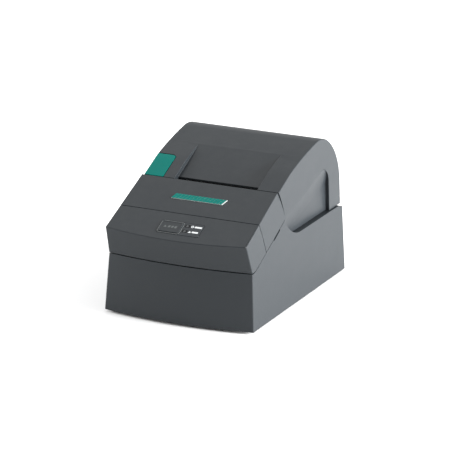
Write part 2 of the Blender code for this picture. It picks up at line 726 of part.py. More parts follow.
def make_cover_liner():
    """Curved inner guide under the roof, over the paper roll."""
    outer = arc(ROLL_CENTRE, 50 * MM, 128, 52, 8)
    inner = arc(ROLL_CENTRE, 48 * MM, 52, 128, 8)
    return prism("cover_liner", outer + inner, grown(ROLL_X, 1.5 * MM), BLACK)


# ---------------------------------------------------------------- platen and gears

def platen_centre():
    return on_slope(PLATEN_ALONG, PLATEN_DEPTH)


def gear_outline(teeth, centre, phase):
    """Outline of a spur gear with straight-sided, slim teeth."""
    radius = teeth * GEAR_MODULE / 2
    tip, root = radius + 0.9 * GEAR_MODULE, radius - 1.2 * GEAR_MODULE
    pitch = 2 * math.pi / teeth
    points = []
    for tooth in range(teeth):
        middle = phase + tooth * pitch
        for spread, reach in ((-0.27, root), (-0.11, tip), (0.11, tip), (0.27, root)):
            angle = middle + spread * pitch
            points.append((centre[0] + reach * math.cos(angle), centre[1] + reach * math.sin(angle)))
    return points


def mesh_phase(first, first_teeth, first_phase, second, second_teeth):
    """Phase that sets the second gear's teeth into the first gear's gaps."""
    direction = math.atan2(second[1] - first[1], second[0] - first[0])
    lead = (direction - first_phase) * first_teeth
    return direction + math.pi - (math.pi - lead) / second_teeth


PLATEN_TEETH, IDLER_TEETH, PINION_TEETH = 18, 30, 12
MOTOR_CENTRE = mm(-38.0, 58.0)
MOTOR_SHAFT = 1.2 * MM


def idler_centre():
    """Where the idler meshes with both the platen gear and the motor pinion."""
    first, second = Vector(platen_centre()), Vector(MOTOR_CENTRE)
    reach_first = (PLATEN_TEETH + IDLER_TEETH) * GEAR_MODULE / 2
    reach_second = (PINION_TEETH + IDLER_TEETH) * GEAR_MODULE / 2
    span = second - first
    length = span.length
    along = (reach_first ** 2 - reach_second ** 2 + length ** 2) / (2 * length)
    off = math.sqrt(max(0.0, reach_first ** 2 - along ** 2))
    unit = span / length
    place = first + unit * along + Vector((unit.y, -unit.x)) * off
    return place.x, place.y


def make_gear(name, teeth, centre, phase, bore, finish):
    gear = prism(name, gear_outline(teeth, centre, phase), GEAR_X, finish)
    cut(gear, rod_x(name + "_bore", centre, bore, grown(GEAR_X, 2 * MM), sides=16))
    return pivot(gear, sum(GEAR_X) / 2, *centre)


def make_gear_train():
    platen, idler = platen_centre(), idler_centre()
    idler_phase = mesh_phase(platen, PLATEN_TEETH, 0.0, idler, IDLER_TEETH)
    motor_phase = mesh_phase(idler, IDLER_TEETH, idler_phase, MOTOR_CENTRE, PINION_TEETH)
    make_gear("idler_gear", IDLER_TEETH, idler, idler_phase, STUD_RADIUS + RUNNING, NYLON)
    make_gear("motor_pinion", PINION_TEETH, MOTOR_CENTRE, motor_phase, MOTOR_SHAFT + GAP, BRASS)
    return make_gear("platen_gear", PLATEN_TEETH, platen, 0.0, SHAFT_RADIUS + GAP, NYLON)


def make_platen_roller():
    x_range = (SLOT_X[0], SLOT_X[1] - 0.5 * MM)
    roller = rod_x("platen_roller", platen_centre(), PLATEN_RADIUS, x_range, RUBBER, 28)
    cut(roller, rod_x("roller_bore", platen_centre(), SHAFT_RADIUS + GAP, mm(-60, 60), sides=16))
    return pivot(roller, 6 * MM, *platen_centre())


def make_platen_shaft():
    shaft = rod_x("platen_shaft", platen_centre(), SHAFT_RADIUS, mm(-50.5, 53.5), STEEL, 16)
    return pivot(shaft, 6 * MM, *platen_centre())


BUSH_RADIUS = 4.5 * MM
BUSHES = {"platen_bush_left": mm(-41.0, -37.0), "platen_bush_right": mm(48.5, 52.5)}


def make_bush(name, x_range):
    bush = rod_x(name, platen_centre(), BUSH_RADIUS, x_range, BRASS, 20)
    bore = rod_x(name + "_bore", platen_centre(), SHAFT_RADIUS + RUNNING, grown(x_range, 3 * MM), sides=16)
    return cut(bush, bore)


def make_platen_bracket():
    """Steel bridge under the exit floor that carries the two platen bushes on the roll cover."""
    rear, top = 112 * MM, -12.3 * MM
    bridge = slope_box("platen_bracket", mm(-41.0, 52.5), (90 * MM, rear), (-13.5 * MM, top), STEEL)
    for name, x_range in BUSHES.items():
        low = x_range[0] + 1.2 * MM
        add(bridge, slope_box(name + "_ear", (low, low + 1.6 * MM), (74.9 * MM, rear), (-28 * MM, top)))
        cut(bridge, rod_x(name + "_seat", platen_centre(), BUSH_RADIUS + GAP, grown(x_range, 2 * MM)))
    return bridge


# ---------------------------------------------------------------- print head, cutter, motors

PLATE_X = mm(-44.6, 55.4)             # outer faces of the chassis side plates
PLATE = 1.2 * MM
CATCH_RADIUS, STUD_RADIUS = 2.0 * MM, 2.0 * MM


def make_chassis():
    """Steel frame: two side plates with ears, joined by a front plate and a shelf."""
    left, right = PLATE_X
    across = (left + 0.6 * MM, right + 0.6 * MM)
    low, high = 10 * MM, 74 * MM
    shelf_top = 40 * MM
    front, rear = -62 * MM, -12 * MM
    frame = box("chassis", (left, left + PLATE), (front, rear), (low, high), STEEL)
    add(frame, box("chassis_right", (right, right + PLATE), (front, rear), (low, high)))
    add(frame, box("chassis_cross", across, (front, front + PLATE), (low, high)))
    add(frame, box("chassis_shelf", across, (front, rear), (shelf_top - PLATE, shelf_top)))
    ear = [mm(42, -50), mm(85, -50), mm(85, -34), mm(72, -34),
           mm(72, -12), mm(42, -12)]
    for index, x in enumerate(PLATE_X):
        add(frame, prism(f"chassis_ear_{index}", [on_slope(*point) for point in ear], (x, x + PLATE)))
    left_side = (left - 2.4 * MM, left + 2.6 * MM)
    both_sides = (left - 2.4 * MM, right + 2.6 * MM)
    cut(frame, rod_x("motor_shaft_hole", MOTOR_CENTRE, 4.5 * MM, left_side, sides=16))
    cut(frame, rod_x("catch_hole", on_slope(*CATCH_PIVOT), CATCH_RADIUS + RUNNING, both_sides, sides=16))
    cut(frame, rod_x("stud_clearance", idler_centre(), STUD_RADIUS + GAP, left_side, sides=16))
    return frame


def make_idler_stud():
    return rod_x("idler_stud", idler_centre(), STUD_RADIUS, mm(-51.0, -42.0), STEEL, 16)


def make_feed_motor():
    motor = rod_x("feed_motor", MOTOR_CENTRE, 17.0 * MM, mm(-43.0, -24.0), ALLOY, 28)
    return add(motor, rod_x("motor_shaft", MOTOR_CENTRE, MOTOR_SHAFT, mm(-50.5, -40), sides=12))


def make_heat_sink():
    """Finned block behind the print line; it slides back against its spring."""
    low, high = -38 * MM, 50 * MM
    sink = slope_box("head_heat_sink", (low, high), mm(70.3, 73.6), mm(-40, -16), ALLOY)
    pitch, half_gap = 8 * MM, 2.2 * MM
    for fin in range(11):
        x = low + 4 * MM + pitch * fin
        cut(sink, slope_box(f"fin_gap_{fin}", (x - half_gap, x + half_gap), mm(68, 71.5),
                            mm(-36, -20)))
    return sink


def make_thermal_element():
    return slope_box("thermal_element", mm(-34, 46), mm(73.9, 74.7),
                     mm(-25, -18), CERAMIC)


def make_leaf_spring():
    """Bent leaf that stands on the shelf and presses on the heat sink."""
    foot_y, foot_z = -52 * MM, 40.4 * MM
    tip_y, tip_z = on_slope(68.2 * MM, -30 * MM)
    thick = 0.6 * MM
    outline = [(foot_y, foot_z), (-34 * MM + thick, foot_z), (tip_y, tip_z - thick), (tip_y - thick, tip_z),
               (-34 * MM - thick, foot_z + thick), (foot_y, foot_z + thick)]
    return prism("head_leaf_spring", outline, mm(-8, 20), STEEL)


def make_cutter_frame():
    """Plate below the moving blade, slotted for the cutter gear."""
    plate = slope_box("cutter_frame", mm(-42.0, 54.0), mm(33, 69.5),
                      mm(-13.4, -12.2), STEEL)
    cut(plate, slope_box("gear_slot", mm(20.5, 27.5), mm(35.5, 67.5), mm(-16, -10)))
    return plate


CUTTER_CENTRE = mm(52.0, -21.5)     # along the slope, depth
CUTTER_TEETH = 16
RACK_X = mm(22, 26)


def make_cutter_blade():
    """Moving blade with a shallow V edge and a rack under it."""
    low_x, high_x, tip, middle = -37 * MM, 49 * MM, 73.0 * MM, 70.5 * MM
    rear = 36 * MM
    outline = [(low_x, rear), (high_x, rear), (high_x, tip), ((low_x + high_x) / 2, middle), (low_x, tip)]
    blade = slope_prism("cutter_blade", outline, mm(-11.5, -10.5), STEEL)
    pitch = math.pi * GEAR_MODULE
    line_depth = CUTTER_CENTRE[1] + CUTTER_TEETH * GEAR_MODULE / 2
    rack = []
    for tooth in range(-4, 2):
        centre = CUTTER_CENTRE[0] + pitch * (tooth - 0.5)
        for spread, depth in ((-0.27, 1.2), (-0.11, -0.9), (0.11, -0.9), (0.27, 1.2)):
            rack.append((centre + spread * pitch, line_depth + depth * MM))
    corners = [(rack[0][0], -11.0 * MM)] + rack + [(rack[-1][0], -11.0 * MM)]
    teeth = prism("rack_teeth", [on_slope(along, depth) for along, depth in corners], RACK_X)
    add(blade, teeth)
    return pivot(blade, *slope_point(6 * MM, 60 * MM, -11 * MM))


def make_cutter_gear():
    """Gear under the rack; at rest one tooth stands straight out from the slope, in a gap of the rack."""
    centre = on_slope(*CUTTER_CENTRE)
    phase = math.pi / 2 + SLOPE_ANGLE
    gear = prism("cutter_gear", gear_outline(CUTTER_TEETH, centre, phase), RACK_X, NYLON)
    cut(gear, rod_x("cutter_gear_bore", centre, 1.5 * MM + GAP, grown(RACK_X, 2 * MM), sides=12))
    return pivot(gear, sum(RACK_X) / 2, *centre)


def make_cutter_motor():
    centre = on_slope(*CUTTER_CENTRE)
    motor = rod_x("cutter_motor", centre, 7.0 * MM, mm(-10, 18), ALLOY, 24)
    return add(motor, rod_x("cutter_motor_shaft", centre, 1.5 * MM, mm(15, 26.5), sides=12))


def make_fixed_blade():
    return slope_box("fixed_blade", mm(-36, 48), mm(77.4, 89), mm(-9.9, -8.9), STEEL)


def make_latch_lever():
    """Catch shaft with a hook at each end and a tail under the open button."""
    centre = on_slope(*CATCH_PIVOT)
    lever = rod_x("latch_lever", centre, CATCH_RADIUS, mm(-59, 58), ZINC, 16)
    along, depth = CATCH_PIVOT
    grip = SHAFT_RADIUS + 0.4 * MM
    finger, rear = PLATEN_DEPTH + grip, PLATEN_ALONG + grip
    for index, low in enumerate(mm(-42.9, 52.8)):
        hook = [(along - 3 * MM, depth - 2.5 * MM), (along + 3 * MM, depth - 2.5 * MM),
                (rear + 4.5 * MM, PLATEN_DEPTH - 5 * MM), (rear + 4.5 * MM, finger + 2.2 * MM),
                (PLATEN_ALONG - 1.5 * MM, finger + 2.2 * MM), (PLATEN_ALONG - 0.5 * MM, finger),
                (rear, finger), (rear, PLATEN_DEPTH - 3 * MM), (along - 2 * MM, depth + 4 * MM)]
        add(lever, prism(f"hook_{index}", [on_slope(*point) for point in hook], (low, low + 1.4 * MM)))
    tail = [(along - 3 * MM, depth - 2.5 * MM), (along + 3 * MM, depth - 2 * MM),
            (PLUNGER_ALONG[1], -16.0 * MM), (PLUNGER_ALONG[1], -12.8 * MM), (PLUNGER_ALONG[0], -12.8 * MM),
            (along - 3 * MM, depth + 2 * MM)]
    add(lever, prism("lever_tail", [on_slope(*point) for point in tail], PLUNGER_X))
    return pivot(lever, 6 * MM, *centre)


# ---------------------------------------------------------------- paper roll bay and electronics

def make_roll_bucket():
    """Half-round trough for the paper roll, with a window for the sensor lever."""
    shell = 2.0 * MM
    outer = arc(ROLL_CENTRE, ROLL_RADIUS + shell, 180, 360, 14)
    top = 61.0 * MM
    outer = [point for point in outer if point[1] < top]
    outer = [(outer[0][0], top)] + outer + [(outer[-1][0], top)]
    bucket = prism("roll_bucket", outer, grown(ROLL_X, shell), BLACK)
    inner = arc(ROLL_CENTRE, ROLL_RADIUS, 180, 360, 14) + [(ROLL_CENTRE[0] + ROLL_RADIUS, 90 * MM),
                                                          (ROLL_CENTRE[0] - ROLL_RADIUS, 90 * MM)]
    cut(bucket, prism("roll_space", inner, ROLL_X))
    y, z = SENSOR_PIVOT
    cut(bucket, box("sensor_window", mm(46, 52), (y - 4 * MM, y + 4 * MM),
                    (z - 2 * MM, z + 14 * MM)))
    for index, y in enumerate(mm(8, 64)):
        add(bucket, box(f"bucket_leg_{index}", mm(-20, 32), (y - 1 * MM, y + 1 * MM),
                        mm(12.5, 34)))
        cut(bucket, prism(f"leg_trim_{index}", inner, ROLL_X))
    return bucket


SENSOR_PIVOT = mm(30.0, 34.0)


def make_sensor_lever():
    """Near-end lever: its nose stands through the bucket wall and is pushed back by the roll."""
    y, z = SENSOR_PIVOT
    lever = rod_x("paper_sensor_lever", (y, z), 2.0 * MM, mm(50.0, 53.0), NYLON, 12)
    near, far, nose = 49.6 * MM, 52.6 * MM, 45.8 * MM
    arm = [(near, z), (far, z), (far, z + 10 * MM), (nose, z + 9 * MM),
           (nose, z + 7 * MM), (near, z + 5 * MM)]
    body = extruded("sensor_arm", [(x, y - 1.6 * MM, high) for x, high in arm], Vector((0, 3.2 * MM, 0)))
    add(lever, body)
    return pivot(lever, 51.5 * MM, y, z)


def make_main_board():
    return box("main_board", mm(-54, 54), mm(2, 83), mm(10.4, 12.0), BOARD)


def make_socket(name, x, width, height):
    """A connector body behind the rear wall with its mouth open to the rear."""
    low, high = SOCKET_CENTRE_Z - height / 2, SOCKET_CENTRE_Z + height / 2
    socket = box(name, (x - width / 2, x + width / 2), (86 * MM, REAR_FACE_Y), (low, high), BLACK)
    rim = 1.8 * MM
    return cut(socket, box(name + "_mouth", (x - width / 2 + rim, x + width / 2 - rim), mm(91, 110),
                           (low + rim, high - rim)))


def make_switch_bezel():
    x, z = SWITCH_CENTRE
    half_width, half_height = SWITCH_HALF
    across, upwards = (x - half_width, x + half_width), (z - half_height, z + half_height)
    rim = 1.45 * MM
    bezel = box("switch_bezel", across, (92 * MM, REAR_FACE_Y + 0.4 * MM), upwards, BLACK)
    return cut(bezel, box("switch_opening", grown(across, -rim), mm(90, 110), grown(upwards, -rim)))


def make_power_switch():
    """Rocker with a V-shaped face, pressed in at its lower end."""
    x, z = SWITCH_CENTRE
    axis_y = 96.0 * MM
    tilt = math.radians(12)
    upper = [mm(-2.5, 2.0), mm(3.2, 6.4), mm(6.2, 6.2)]
    profile = upper + [(4.9 * MM, 0.0)] + [(back, -high) for back, high in reversed(upper)]
    corners = []
    for back, high in profile:
        turned_y = back * math.cos(tilt) - high * math.sin(tilt)
        turned_z = back * math.sin(tilt) + high * math.cos(tilt)
        corners.append((axis_y + turned_y, z + turned_z))
    rocker = prism("power_switch", corners, (x - 4.6 * MM, x + 4.6 * MM), BLACK)
    return pivot(rocker, x, axis_y, z)


# ---------------------------------------------------------------- assembly

def build_base():
    make_base_housing()
    make_bottom_plate()
    for name, (x, y) in FOOT_PLACES.items():
        make_foot(name, x, y)
    for name, (x, y) in SCREW_PLACES.items():
        make_screw(name, x, y)
    for name, x, width, height in REAR_SOCKETS:
        make_socket(name, x, width, height)
    make_switch_bezel()
    make_power_switch()
    make_main_board()
    make_roll_bucket()
    make_sensor_lever()


def build_slope_panels():
    make_front_panel()
    make_control_window()
    make_feed_button()
    for name, x, along in LEDS:
        make_led(name, x, along)
    make_control_board()
    make_cutter_cover()
    make_badge()


def build_mechanism():
    make_chassis()
    make_feed_motor()
    make_idler_stud()
    make_heat_sink()
    make_thermal_element()
    make_leaf_spring()
    make_cutter_frame()
    make_cutter_blade()
    make_cutter_gear()
    make_cutter_motor()
    make_latch_lever()
    make_open_button()


def build_roll_cover():
    hinge = empty("roll_cover_hinge", 0, *HINGE)
    platen = empty("platen_axis", 0, *platen_centre())
    hang(hinge, make_roll_cover(), make_cover_liner(), make_platen_bracket(), make_fixed_blade())
    hang(hinge, *(make_bush(name, x_range) for name, x_range in BUSHES.items()))
    hang(platen, make_platen_roller(), make_platen_shaft(), make_gear_train())
    for name, side in (("hinge_pin_left", -1), ("hinge_pin_right", 1)):
        make_hinge_pin(name, side)


def main():
    clear_scene()
    build_base()
    build_slope_panels()
    build_mechanism()
    build_roll_cover()


main()
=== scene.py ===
"""Receipt printer for 80 mm paper: the visual model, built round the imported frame.

Panels, seams and controls are laid out in slope coordinates: a distance along the front slope,
measured up from its lower edge, and a depth normal to it (outwards is positive).
"""
import json
import logging
import math
from dataclasses import dataclass, field
from enum import Enum
from typing import Callable, Iterable, Optional, Sequence, Union

import bmesh
import bpy
from mathutils import Matrix, Vector

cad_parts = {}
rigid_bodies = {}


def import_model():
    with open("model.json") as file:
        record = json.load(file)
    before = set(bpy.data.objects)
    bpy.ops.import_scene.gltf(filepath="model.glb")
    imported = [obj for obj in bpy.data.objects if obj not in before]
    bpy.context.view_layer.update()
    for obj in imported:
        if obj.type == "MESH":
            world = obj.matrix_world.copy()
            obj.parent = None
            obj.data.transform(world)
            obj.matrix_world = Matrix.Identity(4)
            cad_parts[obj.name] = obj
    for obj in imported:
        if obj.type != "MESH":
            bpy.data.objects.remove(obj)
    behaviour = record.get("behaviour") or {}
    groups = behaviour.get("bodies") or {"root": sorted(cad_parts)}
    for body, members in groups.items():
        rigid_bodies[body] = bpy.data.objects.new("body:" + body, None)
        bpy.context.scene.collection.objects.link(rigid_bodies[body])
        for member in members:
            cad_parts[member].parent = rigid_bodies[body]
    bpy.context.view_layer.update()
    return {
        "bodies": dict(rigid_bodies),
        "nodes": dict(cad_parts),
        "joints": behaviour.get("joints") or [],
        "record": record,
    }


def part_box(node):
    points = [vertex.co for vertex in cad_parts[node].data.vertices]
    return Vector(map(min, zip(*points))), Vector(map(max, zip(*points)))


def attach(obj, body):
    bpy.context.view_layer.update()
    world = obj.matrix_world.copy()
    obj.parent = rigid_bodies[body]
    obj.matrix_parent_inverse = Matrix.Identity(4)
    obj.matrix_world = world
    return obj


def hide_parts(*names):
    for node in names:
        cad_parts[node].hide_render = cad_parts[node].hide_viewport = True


LOG = logging.getLogger("receipt_printer")
MM = 0.001
Pair = tuple[float, float]
Outline = list[Pair]
Material, Socket = bpy.types.Material, bpy.types.NodeSocket
Node, NodeTree = bpy.types.Node, bpy.types.NodeTree
Value = Union[Socket, float]
CORNERS = ("front_left", "front_right", "rear_left", "rear_right")


def mm(first: float, second: float) -> Pair:
    """A pair of lengths given in millimetres."""
    return first * MM, second * MM


def grown(limits: Pair, distance: float) -> Pair:
    """A range widened by a distance at both ends."""
    return limits[0] - distance, limits[1] + distance


def mirrored(side: int, near: float, far: float) -> Pair:
    """A range of X on one side of the centre plane, low end first."""
    low, high = sorted((side * near, side * far))
    return low, high


def middle(node: str) -> Vector:
    """The centre of a CAD node's box."""
    low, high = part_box(node)
    return (low + high) / 2


# Reaches of the blocks that shape the printer, all past its own outline.
WIDE = mm(-78, 78)
WIDER = mm(-85, 85)
LONG = mm(-130, 130)
ROUND_SIDES = 24

# ---------------------------------------------------------------- outlines

def arc(centre: Pair, radius: float, start: float, end: float, steps: int) -> Outline:
    """Points of an arc between two angles in degrees."""
    angles = [math.radians(start + (end - start) * step / steps) for step in range(steps + 1)]
    return [(centre[0] + radius * math.cos(a), centre[1] + radius * math.sin(a)) for a in angles]


def circle(centre: Pair, radius: float, sides: int) -> Outline:
    """A closed circle as an outline."""
    return arc(centre, radius, 0, 360 * (sides - 1) / sides, sides - 1)


def bezier(start: Pair, control: Pair, end: Pair, steps: int = 12) -> Outline:
    """Points of a quadratic curve.

    Args:
        start: its first point.
        control: the point that it bends towards.
        end: its last point.
        steps: how many straight steps make it up.

    Returns:
        The points, both ends included.
    """
    points = []
    for step in range(steps + 1):
        t = step / steps
        points.append(tuple((1 - t) ** 2 * a + 2 * t * (1 - t) * b + t * t * c
                            for a, b, c in zip(start, control, end)))
    return points


def rounded_rect(x_range: Pair, y_range: Pair, radius: float, steps: int = 5) -> Outline:
    """A rectangle with rounded corners.

    Args:
        x_range: limits along X.
        y_range: limits along Y.
        radius: radius of its corners.
        steps: how many straight steps make up a corner.

    Returns:
        Its outline.
    """
    (low_x, high_x), (low_y, high_y) = x_range, y_range
    corners = (((high_x - radius, high_y - radius), 0), ((low_x + radius, high_y - radius), 90),
               ((low_x + radius, low_y + radius), 180), ((high_x - radius, low_y + radius), 270))
    points: Outline = []
    for centre, start in corners:
        points += arc(centre, radius, start, start + 90, steps)
    return points


def offset_line(points: Sequence[Pair], distance: float) -> Outline:
    """Move an open line sideways: a positive distance goes to the left of its direction.

    Args:
        points: the line, point by point.
        distance: how far to the left, in metres.

    Returns:
        The moved line.
    """
    moved = []
    for index, point in enumerate(points):
        here = Vector(point)
        before = Vector(points[index - 1]) if index else None
        after = Vector(points[index + 1]) if index + 1 < len(points) else None
        sides = []
        for first, second in ((before, here), (here, after)):
            if first is not None and second is not None:
                run = (second - first).normalized()
                sides.append(Vector((-run.y, run.x)))
        normal = sum(sides, Vector((0, 0))).normalized()
        moved.append(tuple(here + normal * (distance / normal.dot(sides[0]))))
    return moved


# ---------------------------------------------------------------- layout

@dataclass(frozen=True)
class Layout:
    """The printer's driving dimensions, taken from the frame where a CAD node shows them."""

    base_half_width: float
    foot_height: float
    cover_left: float
    cover_right: float
    hinge: Pair
    slot_x: Pair
    badge_x: Pair
    window_x: Pair
    feed_x: Pair
    flare: float = 0.0575
    wall: float = 2.2 * MM
    seam: float = 0.5 * MM
    gap: float = 0.3 * MM
    slope_angle: float = math.radians(24.2)
    front_foot_y: float = -93.0 * MM
    notch: Pair = mm(-89.2, 53.8)
    peak: Pair = mm(-98.5, 80.6)
    roof_start_y: float = -12.0 * MM
    roof_arcs: tuple = ((115.0, 17.5), (349.0, 9.5), (37.0, -30.0), (56.0, -85.5))
    seam_height: float = 64.0 * MM
    base_rear: Pair = mm(102.6, 103.4)
    bows: tuple = (7.3 * MM, 6.2 * MM, 5.6 * MM)
    belt_start_y: float = -84.0 * MM
    panel_seam: float = 30.0 * MM
    exit_seam: float = 73.4 * MM
    corner_centre: Pair = mm(12.0, 100.0)
    corner_radius: float = 36.0 * MM
    knuckle_radius: float = 3.05 * MM
    pin_hole_radius: float = 1.62 * MM

    @classmethod
    def from_frame(cls, frame: dict) -> "Layout":
        """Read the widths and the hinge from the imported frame.


        Returns:
            The layout that every sub-assembly is built from.
        """
        hinge = next(j for j in frame["joints"] if j["name"] == "roll_cover_hinge")["pos_m"]
        roller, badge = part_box("platen_roller"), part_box("badge")
        window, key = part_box("control_window"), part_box("feed_button")
        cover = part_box("roll_cover")
        edge = 0.3 * MM
        return cls(base_half_width=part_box("base_housing")[1].x, foot_height=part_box("base_housing")[0].z,
                   cover_left=cover[0].x, cover_right=cover[1].x, hinge=(hinge[1], hinge[2]),
                   slot_x=(roller[0].x, roller[1].x + 0.5 * MM), badge_x=(badge[0].x, badge[1].x),
                   window_x=grown((window[0].x, window[1].x), edge), feed_x=(key[0].x, key[1].x))

    def on_slope(self, along: float, depth: float) -> Pair:
        """(y, z) of a point given along the slope and normal to it.

        Args:
            along: distance up the slope from its lower edge.
            depth: distance out of it.

        Returns:
            The (y, z) point.
        """
        y = self.peak[0] + along * math.cos(self.slope_angle) - depth * math.sin(self.slope_angle)
        z = self.peak[1] + along * math.sin(self.slope_angle) + depth * math.cos(self.slope_angle)
        return y, z

    def slope_point(self, x: float, along: float, depth: float) -> Vector:
        """The same as a point in space."""
        y, z = self.on_slope(along, depth)
        return Vector((x, y, z))

    def belt_height(self, y: float) -> float:
        """Height of the base's upper edge, which runs parallel to the slope."""
        return self.notch[1] + (y - self.belt_start_y) * math.tan(self.slope_angle)

    def roof_line(self, inset: float = 0.0) -> Outline:
        """The slope and the roof as one line, from the front to the rear seam.

        Args:
            inset: distance inside the roof.

        Returns:
            The (y, z) points of the line.
        """
        y = self.roof_start_y
        z = self.peak[1] + (y - self.peak[0]) * math.tan(self.slope_angle)
        points = [self.on_slope(-30 * MM, 0), (y, z)]
        angle = self.slope_angle
        facet = math.radians(1.6)
        for radius_mm, end_degrees in self.roof_arcs:
            radius, end = radius_mm * MM, math.radians(end_degrees)
            steps = max(3, round(abs(end - angle) / facet))
            for step in range(steps):
                previous = angle + (end - angle) * step / steps
                turned = angle + (end - angle) * (step + 1) / steps
                y += radius * (math.sin(previous) - math.sin(turned))
                z += radius * (math.cos(turned) - math.cos(previous))
                points.append((y, z))
            angle = end
        low = 40 * MM
        points.append((y + (z - low) / math.tan(-angle), low))
        return offset_line(points, -inset)

    def below_roof(self, inset: float = 0.0, floor: float = -10 * MM) -> Outline:
        """Everything under the roof line, as a closed outline."""
        roof = self.roof_line(inset)
        return [(roof[0][0], floor)] + roof + [(roof[-1][0], floor)]

    def panel_seam_line(self) -> Outline:
        """Seam between the front panel and the cutter cover, from the slope to the belt."""
        foot_y = -59.8 * MM
        foot = (foot_y, self.belt_height(foot_y))
        return bezier(self.on_slope(self.panel_seam, 0), mm(-65.0, 80.0), foot)

    def exit_seam_line(self) -> Outline:
        """Seam between the cutter cover and the roll cover."""
        foot_y = -18.0 * MM
        foot = (foot_y, self.belt_height(foot_y))
        return bezier(self.on_slope(self.exit_seam, 0), mm(-22.3, 96.5), foot)

    def base_edge_front(self) -> Outline:
        """Upper edge of the base along the notch and the belt.

        Returns:
            Its (y, z) points.
        """
        tip_y = -19.3 * MM
        start, end = self.belt_start_y - 3 * MM, self.belt_start_y + 2 * MM
        return [(-130 * MM, self.notch[1]), (start, self.notch[1]),
                (end, self.belt_height(end)), (tip_y, self.belt_height(tip_y))]

    def base_edge_line(self) -> Outline:
        """The whole upper edge of the base: notch, belt, rounded inner corner, rear."""
        corner = arc(self.corner_centre, self.corner_radius, 208, 270, 20)[1:]
        return self.base_edge_front() + corner + [(130 * MM, self.seam_height)]

    def above(self, line: Outline, distance: float = 30 * MM) -> Pair:
        """A point outside the roof, in line with the start of a seam."""
        y, z = line[0]
        return y - math.sin(self.slope_angle) * distance, z + math.cos(self.slope_angle) * distance


# ---------------------------------------------------------------- solids

class Skin(Enum):
    """What a face belongs to, which sets how far the edges beside it are rounded."""

    OUTER = 0
    SEAM = 1
    FEATURE = 2
    FINE = 3
    HIDDEN = 4


@dataclass(frozen=True)
class Rounding:
    """Edge radii of a moulded piece.

    Attributes:
        outer: between two outer faces.
        seam: along the gap to the next panel.
        feature: round recesses and wells.
        fine: round small holes and marks.
        segments: faces across each rounded edge.
    """

    outer: float = 0.7 * MM
    seam: float = 0.22 * MM
    feature: float = 0.4 * MM
    fine: float = 0.15 * MM
    segments: int = 3

    def radius(self, first: Skin, second: Skin) -> float:
        """Radius of the edge between two kinds of face.

        Args:
            first: the face on one side.
            second: the face on the other side.

        Returns:
            The radius in metres.
        """
        kinds = {first, second}
        if Skin.HIDDEN in kinds:
            return 0.0
        if Skin.FINE in kinds:
            return self.fine
        if Skin.SEAM in kinds:
            return self.seam
        return self.feature if Skin.FEATURE in kinds else self.outer


